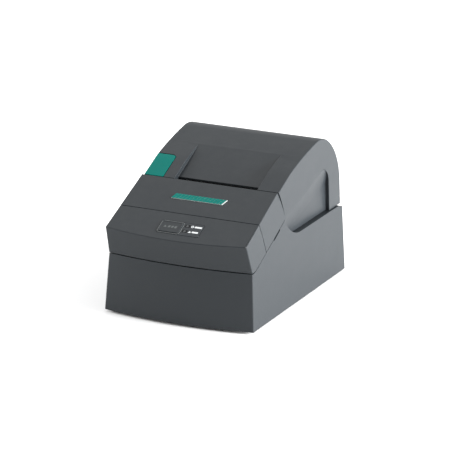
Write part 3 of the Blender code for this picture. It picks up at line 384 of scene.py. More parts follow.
class Solid:
    """A closed mesh that Booleans work on at once."""

    def __init__(self, name: str, bm: bmesh.types.BMesh, skin: Skin = Skin.OUTER) -> None:
        """Make the object from a bmesh, which is freed.

        Args:
            name: its name.
            bm: the mesh, closed.
            skin: what its faces belong to.
        """
        bmesh.ops.recalc_face_normals(bm, faces=bm.faces)
        for face in bm.faces:
            face.material_index = skin.value
        mesh = bpy.data.meshes.new(name)
        bm.to_mesh(mesh)
        bm.free()
        for kind in Skin:
            mesh.materials.append(self.marker(kind))
        self.object = bpy.data.objects.new(name, mesh)
        bpy.context.scene.collection.objects.link(self.object)

    @staticmethod
    def marker(kind: Skin) -> Material:
        """The stand-in material that carries a kind of face through a Boolean."""
        name = f"marker_{kind.name.lower()}"
        return bpy.data.materials.get(name) or bpy.data.materials.new(name)

    @classmethod
    def extruded(cls, name: str, corners: Iterable, shift: Vector, skin: Skin = Skin.OUTER) -> "Solid":
        """A flat outline of points in space, extruded along shift.

        Args:
            name: the object's name.
            corners: the outline, point by point.
            shift: the way and distance of the extrusion.
            skin: what its faces belong to.

        Returns:
            The new solid.
        """
        bm = bmesh.new()
        face = bm.faces.new([bm.verts.new(corner) for corner in corners])
        grown_face = bmesh.ops.extrude_face_region(bm, geom=[face])
        moved = [item for item in grown_face["geom"] if isinstance(item, bmesh.types.BMVert)]
        bmesh.ops.translate(bm, verts=moved, vec=shift)
        return cls(name, bm, skin)

    @classmethod
    def prism(cls, name: str, outline: Outline, x_range: Pair, skin: Skin = Skin.OUTER) -> "Solid":
        """A (y, z) outline extruded along X."""
        low, high = x_range
        return cls.extruded(name, [(low, y, z) for y, z in outline], Vector((high - low, 0, 0)), skin)

    @classmethod
    def upright(cls, name: str, outline: Outline, z_range: Pair, skin: Skin = Skin.OUTER) -> "Solid":
        """An (x, y) outline extruded upwards."""
        low, high = z_range
        return cls.extruded(name, [(x, y, low) for x, y in outline], Vector((0, 0, high - low)), skin)

    @classmethod
    def rearward(cls, name: str, outline: Outline, y_range: Pair, skin: Skin = Skin.OUTER) -> "Solid":
        """An (x, z) outline extruded along Y."""
        low, high = y_range
        return cls.extruded(name, [(x, low, z) for x, z in outline], Vector((0, high - low, 0)), skin)

    @classmethod
    def box(cls, name: str, x_range: Pair, y_range: Pair, z_range: Pair,
            skin: Skin = Skin.OUTER) -> "Solid":
        """A block along the axes, always a tool or a base for further shaping."""
        (y0, y1), (z0, z1) = y_range, z_range
        return cls.prism(name, [(y0, z0), (y1, z0), (y1, z1), (y0, z1)], x_range, skin)

    @classmethod
    def on_slope(cls, name: str, layout: Layout, outline: Outline, depth_range: Pair,
                 skin: Skin = Skin.OUTER) -> "Solid":
        """An (x, along) outline extruded normal to the slope.

        Args:
            name: the object's name.
            layout: the printer's driving dimensions.
            outline: its outline, in order.
            depth_range: limits normal to the slope.
            skin: what its faces belong to.

        Returns:
            The new solid.
        """
        low, high = depth_range
        shift = layout.slope_point(0, 0, high) - layout.slope_point(0, 0, low)
        corners = [layout.slope_point(x, along, low) for x, along in outline]
        return cls.extruded(name, corners, shift, skin)

    def _combine(self, tool: "Solid", operation: str) -> None:
        """Run one Boolean and drop the tool.

        Args:
            tool: the solid to combine with, which is dropped.
            operation: the name of the operation.
        """
        step = self.object.modifiers.new("step", "BOOLEAN")
        step.operation, step.solver, step.object = operation, "EXACT", tool.object
        old = self.object.data
        result = bpy.data.meshes.new_from_object(
            self.object.evaluated_get(bpy.context.evaluated_depsgraph_get()))
        self.object.modifiers.remove(step)
        self.object.data = result
        bpy.data.meshes.remove(old)
        tool.discard()

    def cut(self, *tools: "Solid") -> "Solid":
        """Take the tools away from this solid.

        Args:
            tools: the solids to combine with, which are dropped.

        Returns:
            This solid.
        """
        for tool in tools:
            self._combine(tool, "DIFFERENCE")
        return self

    def keep(self, *tools: "Solid") -> "Solid":
        """Keep only what lies inside every tool.

        Args:
            tools: the solids to combine with, which are dropped.

        Returns:
            This solid.
        """
        for tool in tools:
            self._combine(tool, "INTERSECT")
        return self

    def add(self, *tools: "Solid") -> "Solid":
        """Join the tools to this solid.

        Args:
            tools: the solids to combine with, which are dropped.

        Returns:
            This solid.
        """
        for tool in tools:
            self._combine(tool, "UNION")
        return self

    def discard(self) -> None:
        """Remove the object and its mesh."""
        mesh = self.object.data
        bpy.data.objects.remove(self.object)
        bpy.data.meshes.remove(mesh)

    def finished(self, rounding: Rounding, material: Material) -> bpy.types.Object:
        """Round the edges by kind of face, shade the piece and give it its material.

        Args:
            rounding: the piece's edge radii.
            material: its finish.

        Returns:
            A plain mesh object with weighted normals.
        """
        bm = bmesh.new()
        bm.from_mesh(self.object.data)
        bmesh.ops.remove_doubles(bm, verts=bm.verts, dist=0.015 * MM)
        bmesh.ops.dissolve_degenerate(bm, edges=bm.edges, dist=0.01 * MM)
        weight = bm.edges.layers.float.get("bevel_weight_edge")
        weight = weight or bm.edges.layers.float.new("bevel_weight_edge")
        widest = max(rounding.outer, rounding.feature, rounding.seam, rounding.fine)
        crease, corner = math.radians(5), math.radians(24)
        for face in bm.faces:
            face.smooth = True
        for edge in bm.edges:
            if len(edge.link_faces) != 2:
                continue
            angle = edge.calc_face_angle(0.0)
            first, second = (Skin(face.material_index) for face in edge.link_faces)
            radius = rounding.radius(first, second) if angle > corner else 0.0
            edge[weight] = radius / widest
            edge.smooth = not (angle > crease and radius == 0.0)
        for face in bm.faces:
            face.material_index = 0
        bm.to_mesh(self.object.data)
        bm.free()
        bevel = self.object.modifiers.new("rounded edges", "BEVEL")
        bevel.width, bevel.segments, bevel.limit_method = widest, rounding.segments, "WEIGHT"
        bevel.use_clamp_overlap = False
        bevel.miter_outer = "MITER_ARC"
        shading = self.object.modifiers.new("face weighted shading", "WEIGHTED_NORMAL")
        shading.keep_sharp = True
        shading.weight = 90
        return bake_modifiers(self.object, material)

    def piece(self, name: str, finish: "Finish", rounding: Rounding, *stands_for: str,
              body: str = "base") -> "Piece":
        """Finish the solid as a piece of the printer.

        Args:
            name: the piece's name.
            finish: its finish.
            rounding: its edge radii.
            stands_for: the CAD nodes that it replaces.
            body: the body that it rides on.

        Returns:
            The piece, ready to be placed.
        """
        item = self.finished(rounding, finish.material())
        item.name = name
        return Piece(item, body, finish, stands_for)


def bake_modifiers(item: bpy.types.Object, material: Material) -> bpy.types.Object:
    """Turn an object's modifiers into plain mesh and give it one material.

    Args:
        item: the object.
        material: its material.

    Returns:
        The same object.
    """
    old = item.data
    mesh = bpy.data.meshes.new_from_object(item.evaluated_get(bpy.context.evaluated_depsgraph_get()))
    item.modifiers.clear()
    item.data = mesh
    bpy.data.meshes.remove(old)
    mesh.materials.clear()
    mesh.materials.append(material)
    mesh.name = item.name
    return item


@dataclass(frozen=True)
class Form:
    """The outer form that all the panels share."""

    layout: Layout
    bow_stations: int = 49

    def width_prism(self, name: str, inset: float, sides: Optional[Pair] = None,
                    skin: Skin = Skin.OUTER) -> Solid:
        """The housing's width: flared below, upright where two sides are given.

        Args:
            name: the object's name.
            inset: distance inside the outer form.
            sides: left and right side, where they are upright.
            skin: what its faces belong to.

        Returns:
            The block.
        """
        lay = self.layout
        low, high = -10 * MM, 150 * MM
        foot = lay.base_half_width - inset - lay.flare * (low - lay.foot_height)
        top = lay.base_half_width - inset - lay.flare * (high - lay.foot_height)
        corners = [(-foot, low), (foot, low), (top, high), (-top, high)]
        if sides:
            left, right = sides[0] + inset, sides[1] - inset
            corners = [(left, low), (right, low), (right, high), (left, high)]
        return Solid.rearward(name, corners, LONG, skin)

    def front_solid(self, name: str, inset: float, skin: Skin = Skin.OUTER) -> Solid:
        """Everything behind the bowed front, whose bow shrinks with height.

        Args:
            name: the object's name.
            inset: distance inside the outer form.
            skin: what its faces belong to.

        Returns:
            The block.
        """
        lay = self.layout
        notch_y, notch_z = lay.notch
        bow_foot, bow_notch, bow_peak = lay.bows
        lean = (lay.peak[0] - notch_y) / (lay.peak[1] - notch_z)
        bow_rate = (bow_peak - bow_notch) / (lay.peak[1] - notch_z)
        low, top = -10 * MM, 145 * MM
        drop = (lay.front_foot_y - notch_y) / (notch_z - lay.foot_height)
        levels = ((low, notch_y + drop * (notch_z - low), bow_foot), (notch_z, notch_y, bow_notch),
                  (top, notch_y + lean * (top - notch_z), bow_notch + bow_rate * (top - notch_z)))
        rear, side = 130 * MM, 80 * MM
        bm = bmesh.new()
        rings = []
        for z, y, bow in levels:
            half = lay.base_half_width - lay.flare * (z - lay.foot_height)
            ring = []
            for station in range(self.bow_stations):
                x = side * (2 * station / (self.bow_stations - 1) - 1)
                ring.append(bm.verts.new((x, y - bow * (1 - (x / half) ** 2) + inset, z)))
            ring += [bm.verts.new((side, rear, z)), bm.verts.new((-side, rear, z))]
            rings.append(ring)
        for lower, upper in zip(rings, rings[1:]):
            for index, vertex in enumerate(lower):
                after = (index + 1) % len(lower)
                bm.faces.new((vertex, lower[after], upper[after], upper[index]))
        bm.faces.new(rings[0])
        bm.faces.new(rings[-1])
        return Solid(name, bm, skin)

    def envelope(self, name: str, inset: float = 0.0, sides: Optional[Pair] = None,
                 skin: Skin = Skin.OUTER) -> Solid:
        """The outer form of the upper panels as one block.

        Args:
            name: the object's name.
            inset: distance inside the outer form.
            sides: left and right side, where they are upright.
            skin: what its faces belong to.

        Returns:
            The block.
        """
        block = Solid.prism(name, self.layout.below_roof(inset), WIDE, skin)
        block.keep(self.width_prism(name + "_width", inset, sides, skin))
        return block.keep(self.front_solid(name + "_front", inset, skin))

    def shell(self, name: str, sides: Optional[Pair] = None) -> Solid:
        """The envelope with its wall thickness."""
        inside = self.envelope(name + "_inside", self.layout.wall, sides, Skin.HIDDEN)
        return self.envelope(name, 0.0, sides).cut(inside)


# ---------------------------------------------------------------- finishes

@dataclass(frozen=True)
class NodeGroup:
    """A shared shader effect, built once and placed in many materials."""

    name: str
    inputs: dict
    outputs: dict
    wire: Callable

    def tree(self) -> NodeTree:
        """The group's node tree, made on first use.

        Returns:
            The finished tree.
        """
        made = bpy.data.node_groups.get(self.name)
        if made:
            return made
        made = bpy.data.node_groups.new(self.name, "ShaderNodeTree")
        for label, value in self.inputs.items():
            socket = made.interface.new_socket(label, in_out="INPUT", socket_type="NodeSocketFloat")
            socket.default_value = value
        for label, kind in self.outputs.items():
            made.interface.new_socket(label, in_out="OUTPUT", socket_type=kind)
        start, end = made.nodes.new("NodeGroupInput"), made.nodes.new("NodeGroupOutput")
        self.wire(made, start, end)
        return made


def math_node(tree: NodeTree, operation: str, first: Value,
              second: Optional[Value] = None) -> Socket:
    """A Math node whose inputs are sockets or numbers; returns its result socket.

    Args:
        tree: the node tree that it goes into.
        operation: the name of the operation.
        first: the first socket or number.
        second: the second one.

    Returns:
        The node's result.
    """
    node = tree.nodes.new("ShaderNodeMath")
    node.operation = operation
    for slot, value in zip(node.inputs, (first, second)):
        if isinstance(value, Socket):
            tree.links.new(value, slot)
        elif value is not None:
            slot.default_value = value
    return node.outputs[0]


def noise(tree: NodeTree, vector: Socket, scale: Value, detail: float = 3.0,
          roughness: float = 0.55) -> Socket:
    """A noise texture on the given coordinates; returns its factor.

    Args:
        tree: the node tree that it goes into.
        vector: the coordinates that it is read at.
        scale: how fine it is, per metre.
        detail: how many finer layers it has.
        roughness: how strong the finer layers are.

    Returns:
        The texture's factor.
    """
    node = tree.nodes.new("ShaderNodeTexNoise")
    node.inputs["Detail"].default_value = detail
    node.inputs["Roughness"].default_value = roughness
    tree.links.new(vector, node.inputs["Vector"])
    if isinstance(scale, Socket):
        tree.links.new(scale, node.inputs["Scale"])
    else:
        node.inputs["Scale"].default_value = scale
    return node.outputs["Fac"]


def between(tree: NodeTree, value: Socket, low: float, high: float,
            to_low: float = 0.0, to_high: float = 1.0) -> Socket:
    """Map a value from one range onto another, clamped.

    Args:
        tree: the node tree that it goes into.
        value: the value to map.
        low: low end of the range it comes from.
        high: high end of the range it comes from.
        to_low: what the low end becomes.
        to_high: what the high end becomes.

    Returns:
        The mapped value.
    """
    node = tree.nodes.new("ShaderNodeMapRange")
    tree.links.new(value, node.inputs["Value"])
    for label, number in zip(("From Min", "From Max", "To Min", "To Max"), (low, high, to_low, to_high)):
        node.inputs[label].default_value = number
    return node.outputs["Result"]


def object_coordinates(tree: NodeTree) -> Socket:
    """The piece's own coordinates, in metres."""
    return tree.nodes.new("ShaderNodeTexCoord").outputs["Object"]


def wire_grain(tree: NodeTree, start: Node, end: Node) -> None:
    """Spark-eroded mould texture: fine pits over a slow drift in tone and gloss.

    Args:
        tree: the node tree that it goes into.
        start: the node with the group's inputs.
        end: the node with the group's outputs.
    """
    place = object_coordinates(tree)
    pits = tree.nodes.new("ShaderNodeTexVoronoi")
    pits.feature = "SMOOTH_F1"
    tree.links.new(place, pits.inputs["Vector"])
    tree.links.new(start.outputs["Pits per metre"], pits.inputs["Scale"])
    fine = noise(tree, place, start.outputs["Pits per metre"], 2.0)
    height = math_node(tree, "MULTIPLY_ADD", pits.outputs["Distance"], 0.6)
    tree.links.new(fine, height.node.inputs[2])
    drift = noise(tree, place, 38.0, 4.0, 0.6)
    speckle = between(tree, fine, 0.3, 0.7, -1.0, 1.0)
    slow = between(tree, drift, 0.3, 0.7, -1.0, 1.0)
    both = math_node(tree, "ADD", math_node(tree, "MULTIPLY", speckle, start.outputs["Speckle"]),
                     math_node(tree, "MULTIPLY", slow, start.outputs["Drift"]))
    tree.links.new(height, end.inputs["Height"])
    tree.links.new(math_node(tree, "ADD", both, 1.0), end.inputs["Tone"])
    tree.links.new(math_node(tree, "MULTIPLY", slow, start.outputs["Gloss drift"]), end.inputs["Gloss"])


def wire_dust(tree: NodeTree, start: Node, end: Node) -> None:
    """Thin dust: a mask on upward faces, broken up by noise.

    Args:
        tree: the node tree that it goes into.
        start: the node with the group's inputs.
        end: the node with the group's outputs.
    """
    place = object_coordinates(tree)
    facing = tree.nodes.new("ShaderNodeSeparateXYZ")
    tree.links.new(tree.nodes.new("ShaderNodeNewGeometry").outputs["Normal"], facing.inputs[0])
    upward = between(tree, facing.outputs["Z"], 0.2, 1.0)
    patches = between(tree, noise(tree, place, 95.0, 5.0, 0.65), 0.42, 0.72)
    specks = between(tree, noise(tree, place, 2600.0, 1.0), 0.66, 0.74)
    cover = math_node(tree, "ADD", math_node(tree, "MULTIPLY", patches, 0.6), specks)
    mask = math_node(tree, "MULTIPLY", cover, upward)
    tree.links.new(math_node(tree, "MULTIPLY", mask, start.outputs["Amount"]), end.inputs["Mask"])


def wire_rub(tree: NodeTree, start: Node, end: Node) -> None:
    """Handling wear: convex edges that are rubbed a little lighter and smoother.

    Args:
        tree: the node tree that it goes into.
        start: the node with the group's inputs.
        end: the node with the group's outputs.
    """
    occlusion = tree.nodes.new("ShaderNodeAmbientOcclusion")
    occlusion.inside = True
    occlusion.only_local = True
    occlusion.samples = 4
    tree.links.new(start.outputs["Reach"], occlusion.inputs["Distance"])
    edge = between(tree, occlusion.outputs["AO"], 0.55, 0.95, 1.0, 0.0)
    broken = between(tree, noise(tree, object_coordinates(tree), 420.0, 4.0), 0.35, 0.7, 0.2, 1.0)
    mask = math_node(tree, "MULTIPLY", edge, broken)
    tree.links.new(math_node(tree, "MULTIPLY", mask, start.outputs["Amount"]), end.inputs["Mask"])


def wire_brushed(tree: NodeTree, start: Node, end: Node) -> None:
    """Rolling or brushing lines along X, with stains.

    Args:
        tree: the node tree that it goes into.
        start: the node with the group's inputs.
        end: the node with the group's outputs.
    """
    place = object_coordinates(tree)
    stretch = tree.nodes.new("ShaderNodeMapping")
    stretch.inputs["Scale"].default_value = (0.02, 1.0, 1.0)
    tree.links.new(place, stretch.inputs["Vector"])
    lines = noise(tree, stretch.outputs["Vector"], start.outputs["Lines per metre"], 2.0)
    stains = between(tree, noise(tree, place, 60.0, 4.0), 0.3, 0.7, -1.0, 1.0)
    streaks = between(tree, lines, 0.3, 0.7, -1.0, 1.0)
    tone = math_node(tree, "MULTIPLY", streaks, start.outputs["Contrast"])
    tree.links.new(lines, end.inputs["Height"])
    tree.links.new(math_node(tree, "ADD", tone, 1.0), end.inputs["Tone"])
    tree.links.new(math_node(tree, "MULTIPLY", stains, 0.07), end.inputs["Gloss"])


FLOAT = "NodeSocketFloat"
GRAIN = NodeGroup("moulded grain", {"Pits per metre": 2600.0, "Speckle": 0.04, "Drift": 0.03,
                                    "Gloss drift": 0.03},
                  {"Height": FLOAT, "Tone": FLOAT, "Gloss": FLOAT}, wire_grain)
DUST = NodeGroup("thin dust", {"Amount": 0.1}, {"Mask": FLOAT}, wire_dust)
RUB = NodeGroup("rubbed edges", {"Amount": 0.2, "Reach": 0.0008}, {"Mask": FLOAT}, wire_rub)
BRUSHED = NodeGroup("brushed lines", {"Lines per metre": 5200.0, "Contrast": 0.08},
                    {"Height": FLOAT, "Tone": FLOAT, "Gloss": FLOAT}, wire_brushed)


class MaterialBuilder:
    """Wires one material: colour, roughness and bump from shared groups into a Principled shader."""

    def __init__(self, name: str, colour: tuple, roughness: float, metallic: float = 0.0,
                 specular: float = 0.5) -> None:
        """Start a material whose constants sit on the shader's own sockets.

        Args:
            name: its name.
            colour: a colour in linear light.
            roughness: its roughness, from 0 to 1.
            metallic: how metallic it is.
            specular: level of the shader's reflection.
        """
        self.material = bpy.data.materials.new(name)
        self.material.use_nodes = True
        self.material.diffuse_color = (*colour, 1.0)
        self.tree = self.material.node_tree
        self.shader = self.tree.nodes["Principled BSDF"]
        self.shader.inputs["Metallic"].default_value = metallic
        self.shader.inputs["Specular IOR Level"].default_value = specular
        self.colour: object = colour
        self.roughness: object = roughness

    def group(self, effect: NodeGroup, **values: float) -> Node:
        """Place a shared effect; keyword names are its inputs with underscores for spaces.

        Args:
            effect: the shared group.
            values: the group's inputs.

        Returns:
            The placed group node.
        """
        node = self.tree.nodes.new("ShaderNodeGroup")
        node.node_tree = effect.tree()
        for label, value in values.items():
            node.inputs[label.replace("_", " ")].default_value = value
        return node

    def feed_colour(self, slot: Socket) -> None:
        """Link or set the colour so far on an input.

        Args:
            slot: the input to feed.
        """
        if isinstance(self.colour, Socket):
            self.tree.links.new(self.colour, slot)
        elif slot.type == "RGBA":
            slot.default_value = (*self.colour, 1.0)
        else:
            slot.default_value = self.colour

    def tone(self, factor: Socket) -> None:
        """Multiply the colour by a value that varies over the surface.

        Args:
            factor: the value to multiply by.
        """
        scale = self.tree.nodes.new("ShaderNodeVectorMath")
        scale.operation = "SCALE"
        self.feed_colour(scale.inputs[0])
        self.tree.links.new(factor, scale.inputs["Scale"])
        self.colour = scale.outputs[0]

    def blend(self, mask: Socket, colour: tuple) -> None:
        """Mix another colour in where a mask says so.

        Args:
            mask: where it shows.
            colour: the colour to mix in.
        """
        mix = self.tree.nodes.new("ShaderNodeMix")
        mix.data_type = "RGBA"
        self.tree.links.new(mask, mix.inputs[0])
        self.feed_colour(mix.inputs[6])
        mix.inputs[7].default_value = (*colour, 1.0)
        self.colour = mix.outputs[2]

    def gloss(self, change: Socket, factor: float = 1.0) -> None:
        """Add a varying value to the roughness."""
        self.roughness = math_node(self.tree, "ADD", math_node(self.tree, "MULTIPLY", change, factor),
                                   self.roughness)

    def bump(self, height: Socket, depth: float) -> None:
        """Bump the surface by a height, in metres.

        Args:
            height: the height, from 0 to 1.
            depth: how deep the bump reads, in metres.
        """
        node = self.tree.nodes.new("ShaderNodeBump")
        node.inputs["Strength"].default_value = 1.0
        node.inputs["Distance"].default_value = depth
        self.tree.links.new(height, node.inputs["Height"])
        self.tree.links.new(node.outputs["Normal"], self.shader.inputs["Normal"])

    def done(self) -> Material:
        """Connect what was gathered and return the material.

        Returns:
            The finished material.
        """
        self.feed_colour(self.shader.inputs["Base Color"])
        if isinstance(self.roughness, Socket):
            self.tree.links.new(self.roughness, self.shader.inputs["Roughness"])
        else:
            self.shader.inputs["Roughness"].default_value = self.roughness
        return self.material


@dataclass(frozen=True)
class MouldedPlastic:
    """Injection-moulded plastic with an eroded texture, light dust and rubbed edges."""

    colour: tuple
    roughness: float
    pits: float = 2600.0
    depth: float = 0.02 * MM
    speckle: float = 0.05
    drift: float = 0.03
    specular: float = 0.27
    rub: float = 0.12
    dust: float = 0.025

    def build(self, name: str) -> Material:
        """Build the node material.

        Args:
            name: the material's name.

        Returns:
            The finished material.
        """
        made = MaterialBuilder(name, self.colour, self.roughness, 0.0, self.specular)
        grain = made.group(GRAIN, Pits_per_metre=self.pits, Speckle=self.speckle, Drift=self.drift)
        made.tone(grain.outputs["Tone"])
        rubbed = made.group(RUB, Amount=self.rub)
        made.blend(rubbed.outputs["Mask"], tuple(min(1.0, part * 2.4 + 0.01) for part in self.colour))
        dust = made.group(DUST, Amount=self.dust)
        made.blend(dust.outputs["Mask"], (0.30, 0.30, 0.29))
        made.gloss(grain.outputs["Gloss"])
        made.gloss(rubbed.outputs["Mask"], -0.25)
        made.gloss(dust.outputs["Mask"], 0.4)
        made.bump(grain.outputs["Height"], self.depth)
        return made.done()


@dataclass(frozen=True)
class SheetMetal:
    """Rolled, plated or turned metal."""

    colour: tuple
    roughness: float
    lines: float = 5200.0
    contrast: float = 0.10
    depth: float = 0.004 * MM

    def build(self, name: str) -> Material:
        """Build the node material.

        Args:
            name: the material's name.

        Returns:
            The finished material.
        """
        made = MaterialBuilder(name, self.colour, self.roughness, 1.0)
        brushed = made.group(BRUSHED, Lines_per_metre=self.lines, Contrast=self.contrast)
        made.tone(brushed.outputs["Tone"])
        made.gloss(brushed.outputs["Gloss"])
        dust = made.group(DUST, Amount=0.06)
        made.gloss(dust.outputs["Mask"], 0.5)
        made.bump(brushed.outputs["Height"], self.depth)
        return made.done()


@dataclass(frozen=True)
class SolderMask:
    """Board laminate under a green mask, with copper tracks showing through."""

    colour: tuple
    track: tuple
    tracks_per_metre: float = 260.0

    def build(self, name: str) -> Material:
        """Build the node material.

        Args:
            name: the material's name.

        Returns:
            The finished material.
        """
        made = MaterialBuilder(name, self.colour, 0.35)
        cells = made.tree.nodes.new("ShaderNodeTexVoronoi")
        cells.distance, cells.feature = "MANHATTAN", "F1"
        cells.inputs["Scale"].default_value = self.tracks_per_metre
        made.tree.links.new(object_coordinates(made.tree), cells.inputs["Vector"])
        bands = math_node(made.tree, "PINGPONG", cells.outputs["Distance"], 0.09)
        mask = between(made.tree, bands, 0.05, 0.06)
        made.blend(mask, self.track)
        made.gloss(made.group(GRAIN).outputs["Gloss"])
        made.bump(mask, 0.03 * MM)
        return made.done()


@dataclass(frozen=True)
class SmokedLens:
    """A small polished light pipe, dark while it is off."""

    colour: tuple

    def build(self, name: str) -> Material:
        """Build the node material.

        Args:
            name: the material's name.

        Returns:
            The finished material.
        """
        made = MaterialBuilder(name, self.colour, 0.08)
        made.shader.inputs["Coat Weight"].default_value = 0.6
        haze = made.group(GRAIN, Pits_per_metre=900.0, Speckle=0.02, Drift=0.15)
        made.tone(haze.outputs["Tone"])
        made.gloss(haze.outputs["Gloss"])
        return made.done()


SLATE = (0.0168, 0.0206, 0.0240)


class Finish(Enum):
    """The printer's finishes; each value is (record slot, recipe)."""

    HOUSING = ("housing_plastic", MouldedPlastic(SLATE, 0.42))
    PANEL = ("panel_plastic", MouldedPlastic(SLATE, 0.40))
    KEY = ("panel_plastic", MouldedPlastic((0.017, 0.021, 0.024), 0.40, pits=4200.0, depth=0.01 * MM))
    FILM = ("black_plastic", MouldedPlastic((0.015, 0.019, 0.023), 0.34, pits=6000.0, depth=0.006 * MM,
                                            rub=0.05))
    OUTLINE = ("panel_plastic", MouldedPlastic((0.19, 0.20, 0.20), 0.35, depth=0.004 * MM, rub=0.0))
    FAINT = ("panel_plastic", MouldedPlastic((0.085, 0.095, 0.095), 0.4, depth=0.004 * MM, rub=0.0))
    GREEN = ("green_plastic", MouldedPlastic((0.0006, 0.130, 0.108), 0.30, pits=3600.0,
                                             depth=0.004 * MM, speckle=0.03, specular=0.06, dust=0.0))
    SILVER = ("green_plastic", MouldedPlastic((0.36, 0.39, 0.385), 0.25, depth=0.003 * MM, dust=0.03))
    INK = ("panel_plastic", MouldedPlastic((0.62, 0.64, 0.65), 0.5, depth=0.003 * MM, rub=0.0))
    LABEL = ("black_plastic", MouldedPlastic((0.45, 0.46, 0.46), 0.5, pits=900.0, depth=0.004 * MM,
                                             rub=0.0))
    BLACK = ("black_plastic", MouldedPlastic((0.009, 0.009, 0.010), 0.5))
    SHADE = ("black_plastic", MouldedPlastic((0.0025, 0.0028, 0.0035), 0.3, depth=0.003 * MM,
                                             specular=0.1, dust=0.0))
    RUBBER = ("rubber", MouldedPlastic((0.022, 0.022, 0.024), 0.8, pits=1800.0, depth=0.03 * MM,
                                       specular=0.3, dust=0.2))
    NYLON = ("nylon", MouldedPlastic((0.66, 0.64, 0.58), 0.45, depth=0.008 * MM))
    CERAMIC = ("ceramic", MouldedPlastic((0.05, 0.045, 0.04), 0.18, depth=0.003 * MM, specular=0.6))
    LENS = ("lens", SmokedLens((0.010, 0.011, 0.013)))
    STEEL = ("steel", SheetMetal((0.52, 0.53, 0.54), 0.34))
    ZINC = ("zinc_plate", SheetMetal((0.62, 0.63, 0.62), 0.28, lines=2400.0, contrast=0.06))
    ALLOY = ("alloy", SheetMetal((0.68, 0.69, 0.70), 0.42, lines=3600.0))
    BRASS = ("brass", SheetMetal((0.68, 0.50, 0.20), 0.30, lines=7000.0))
    BOARD = ("board", SolderMask((0.010, 0.085, 0.045), (0.03, 0.16, 0.08)))

    @property
    def slot(self) -> str:
        """The record's material slot."""
        return self.value[0]

    def material(self) -> Material:
        """The finish's material, built on first use."""
        name = self.name.lower()
        return bpy.data.materials.get(name) or self.value[1].build(name)


@dataclass
class Piece:
    """A finished piece with what the frame has to know about it."""

    item: bpy.types.Object
    body: str
    finish: Finish
    stands_for: tuple = ()

    def place(self) -> None:
        """Ride on the body and stand for the CAD nodes."""
        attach(self.item, self.body)
        if self.stands_for:
            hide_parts(*self.stands_for)
        LOG.info("%s rides on %s, %d faces", self.item.name, self.body, len(self.item.data.polygons))


# ---------------------------------------------------------------- base

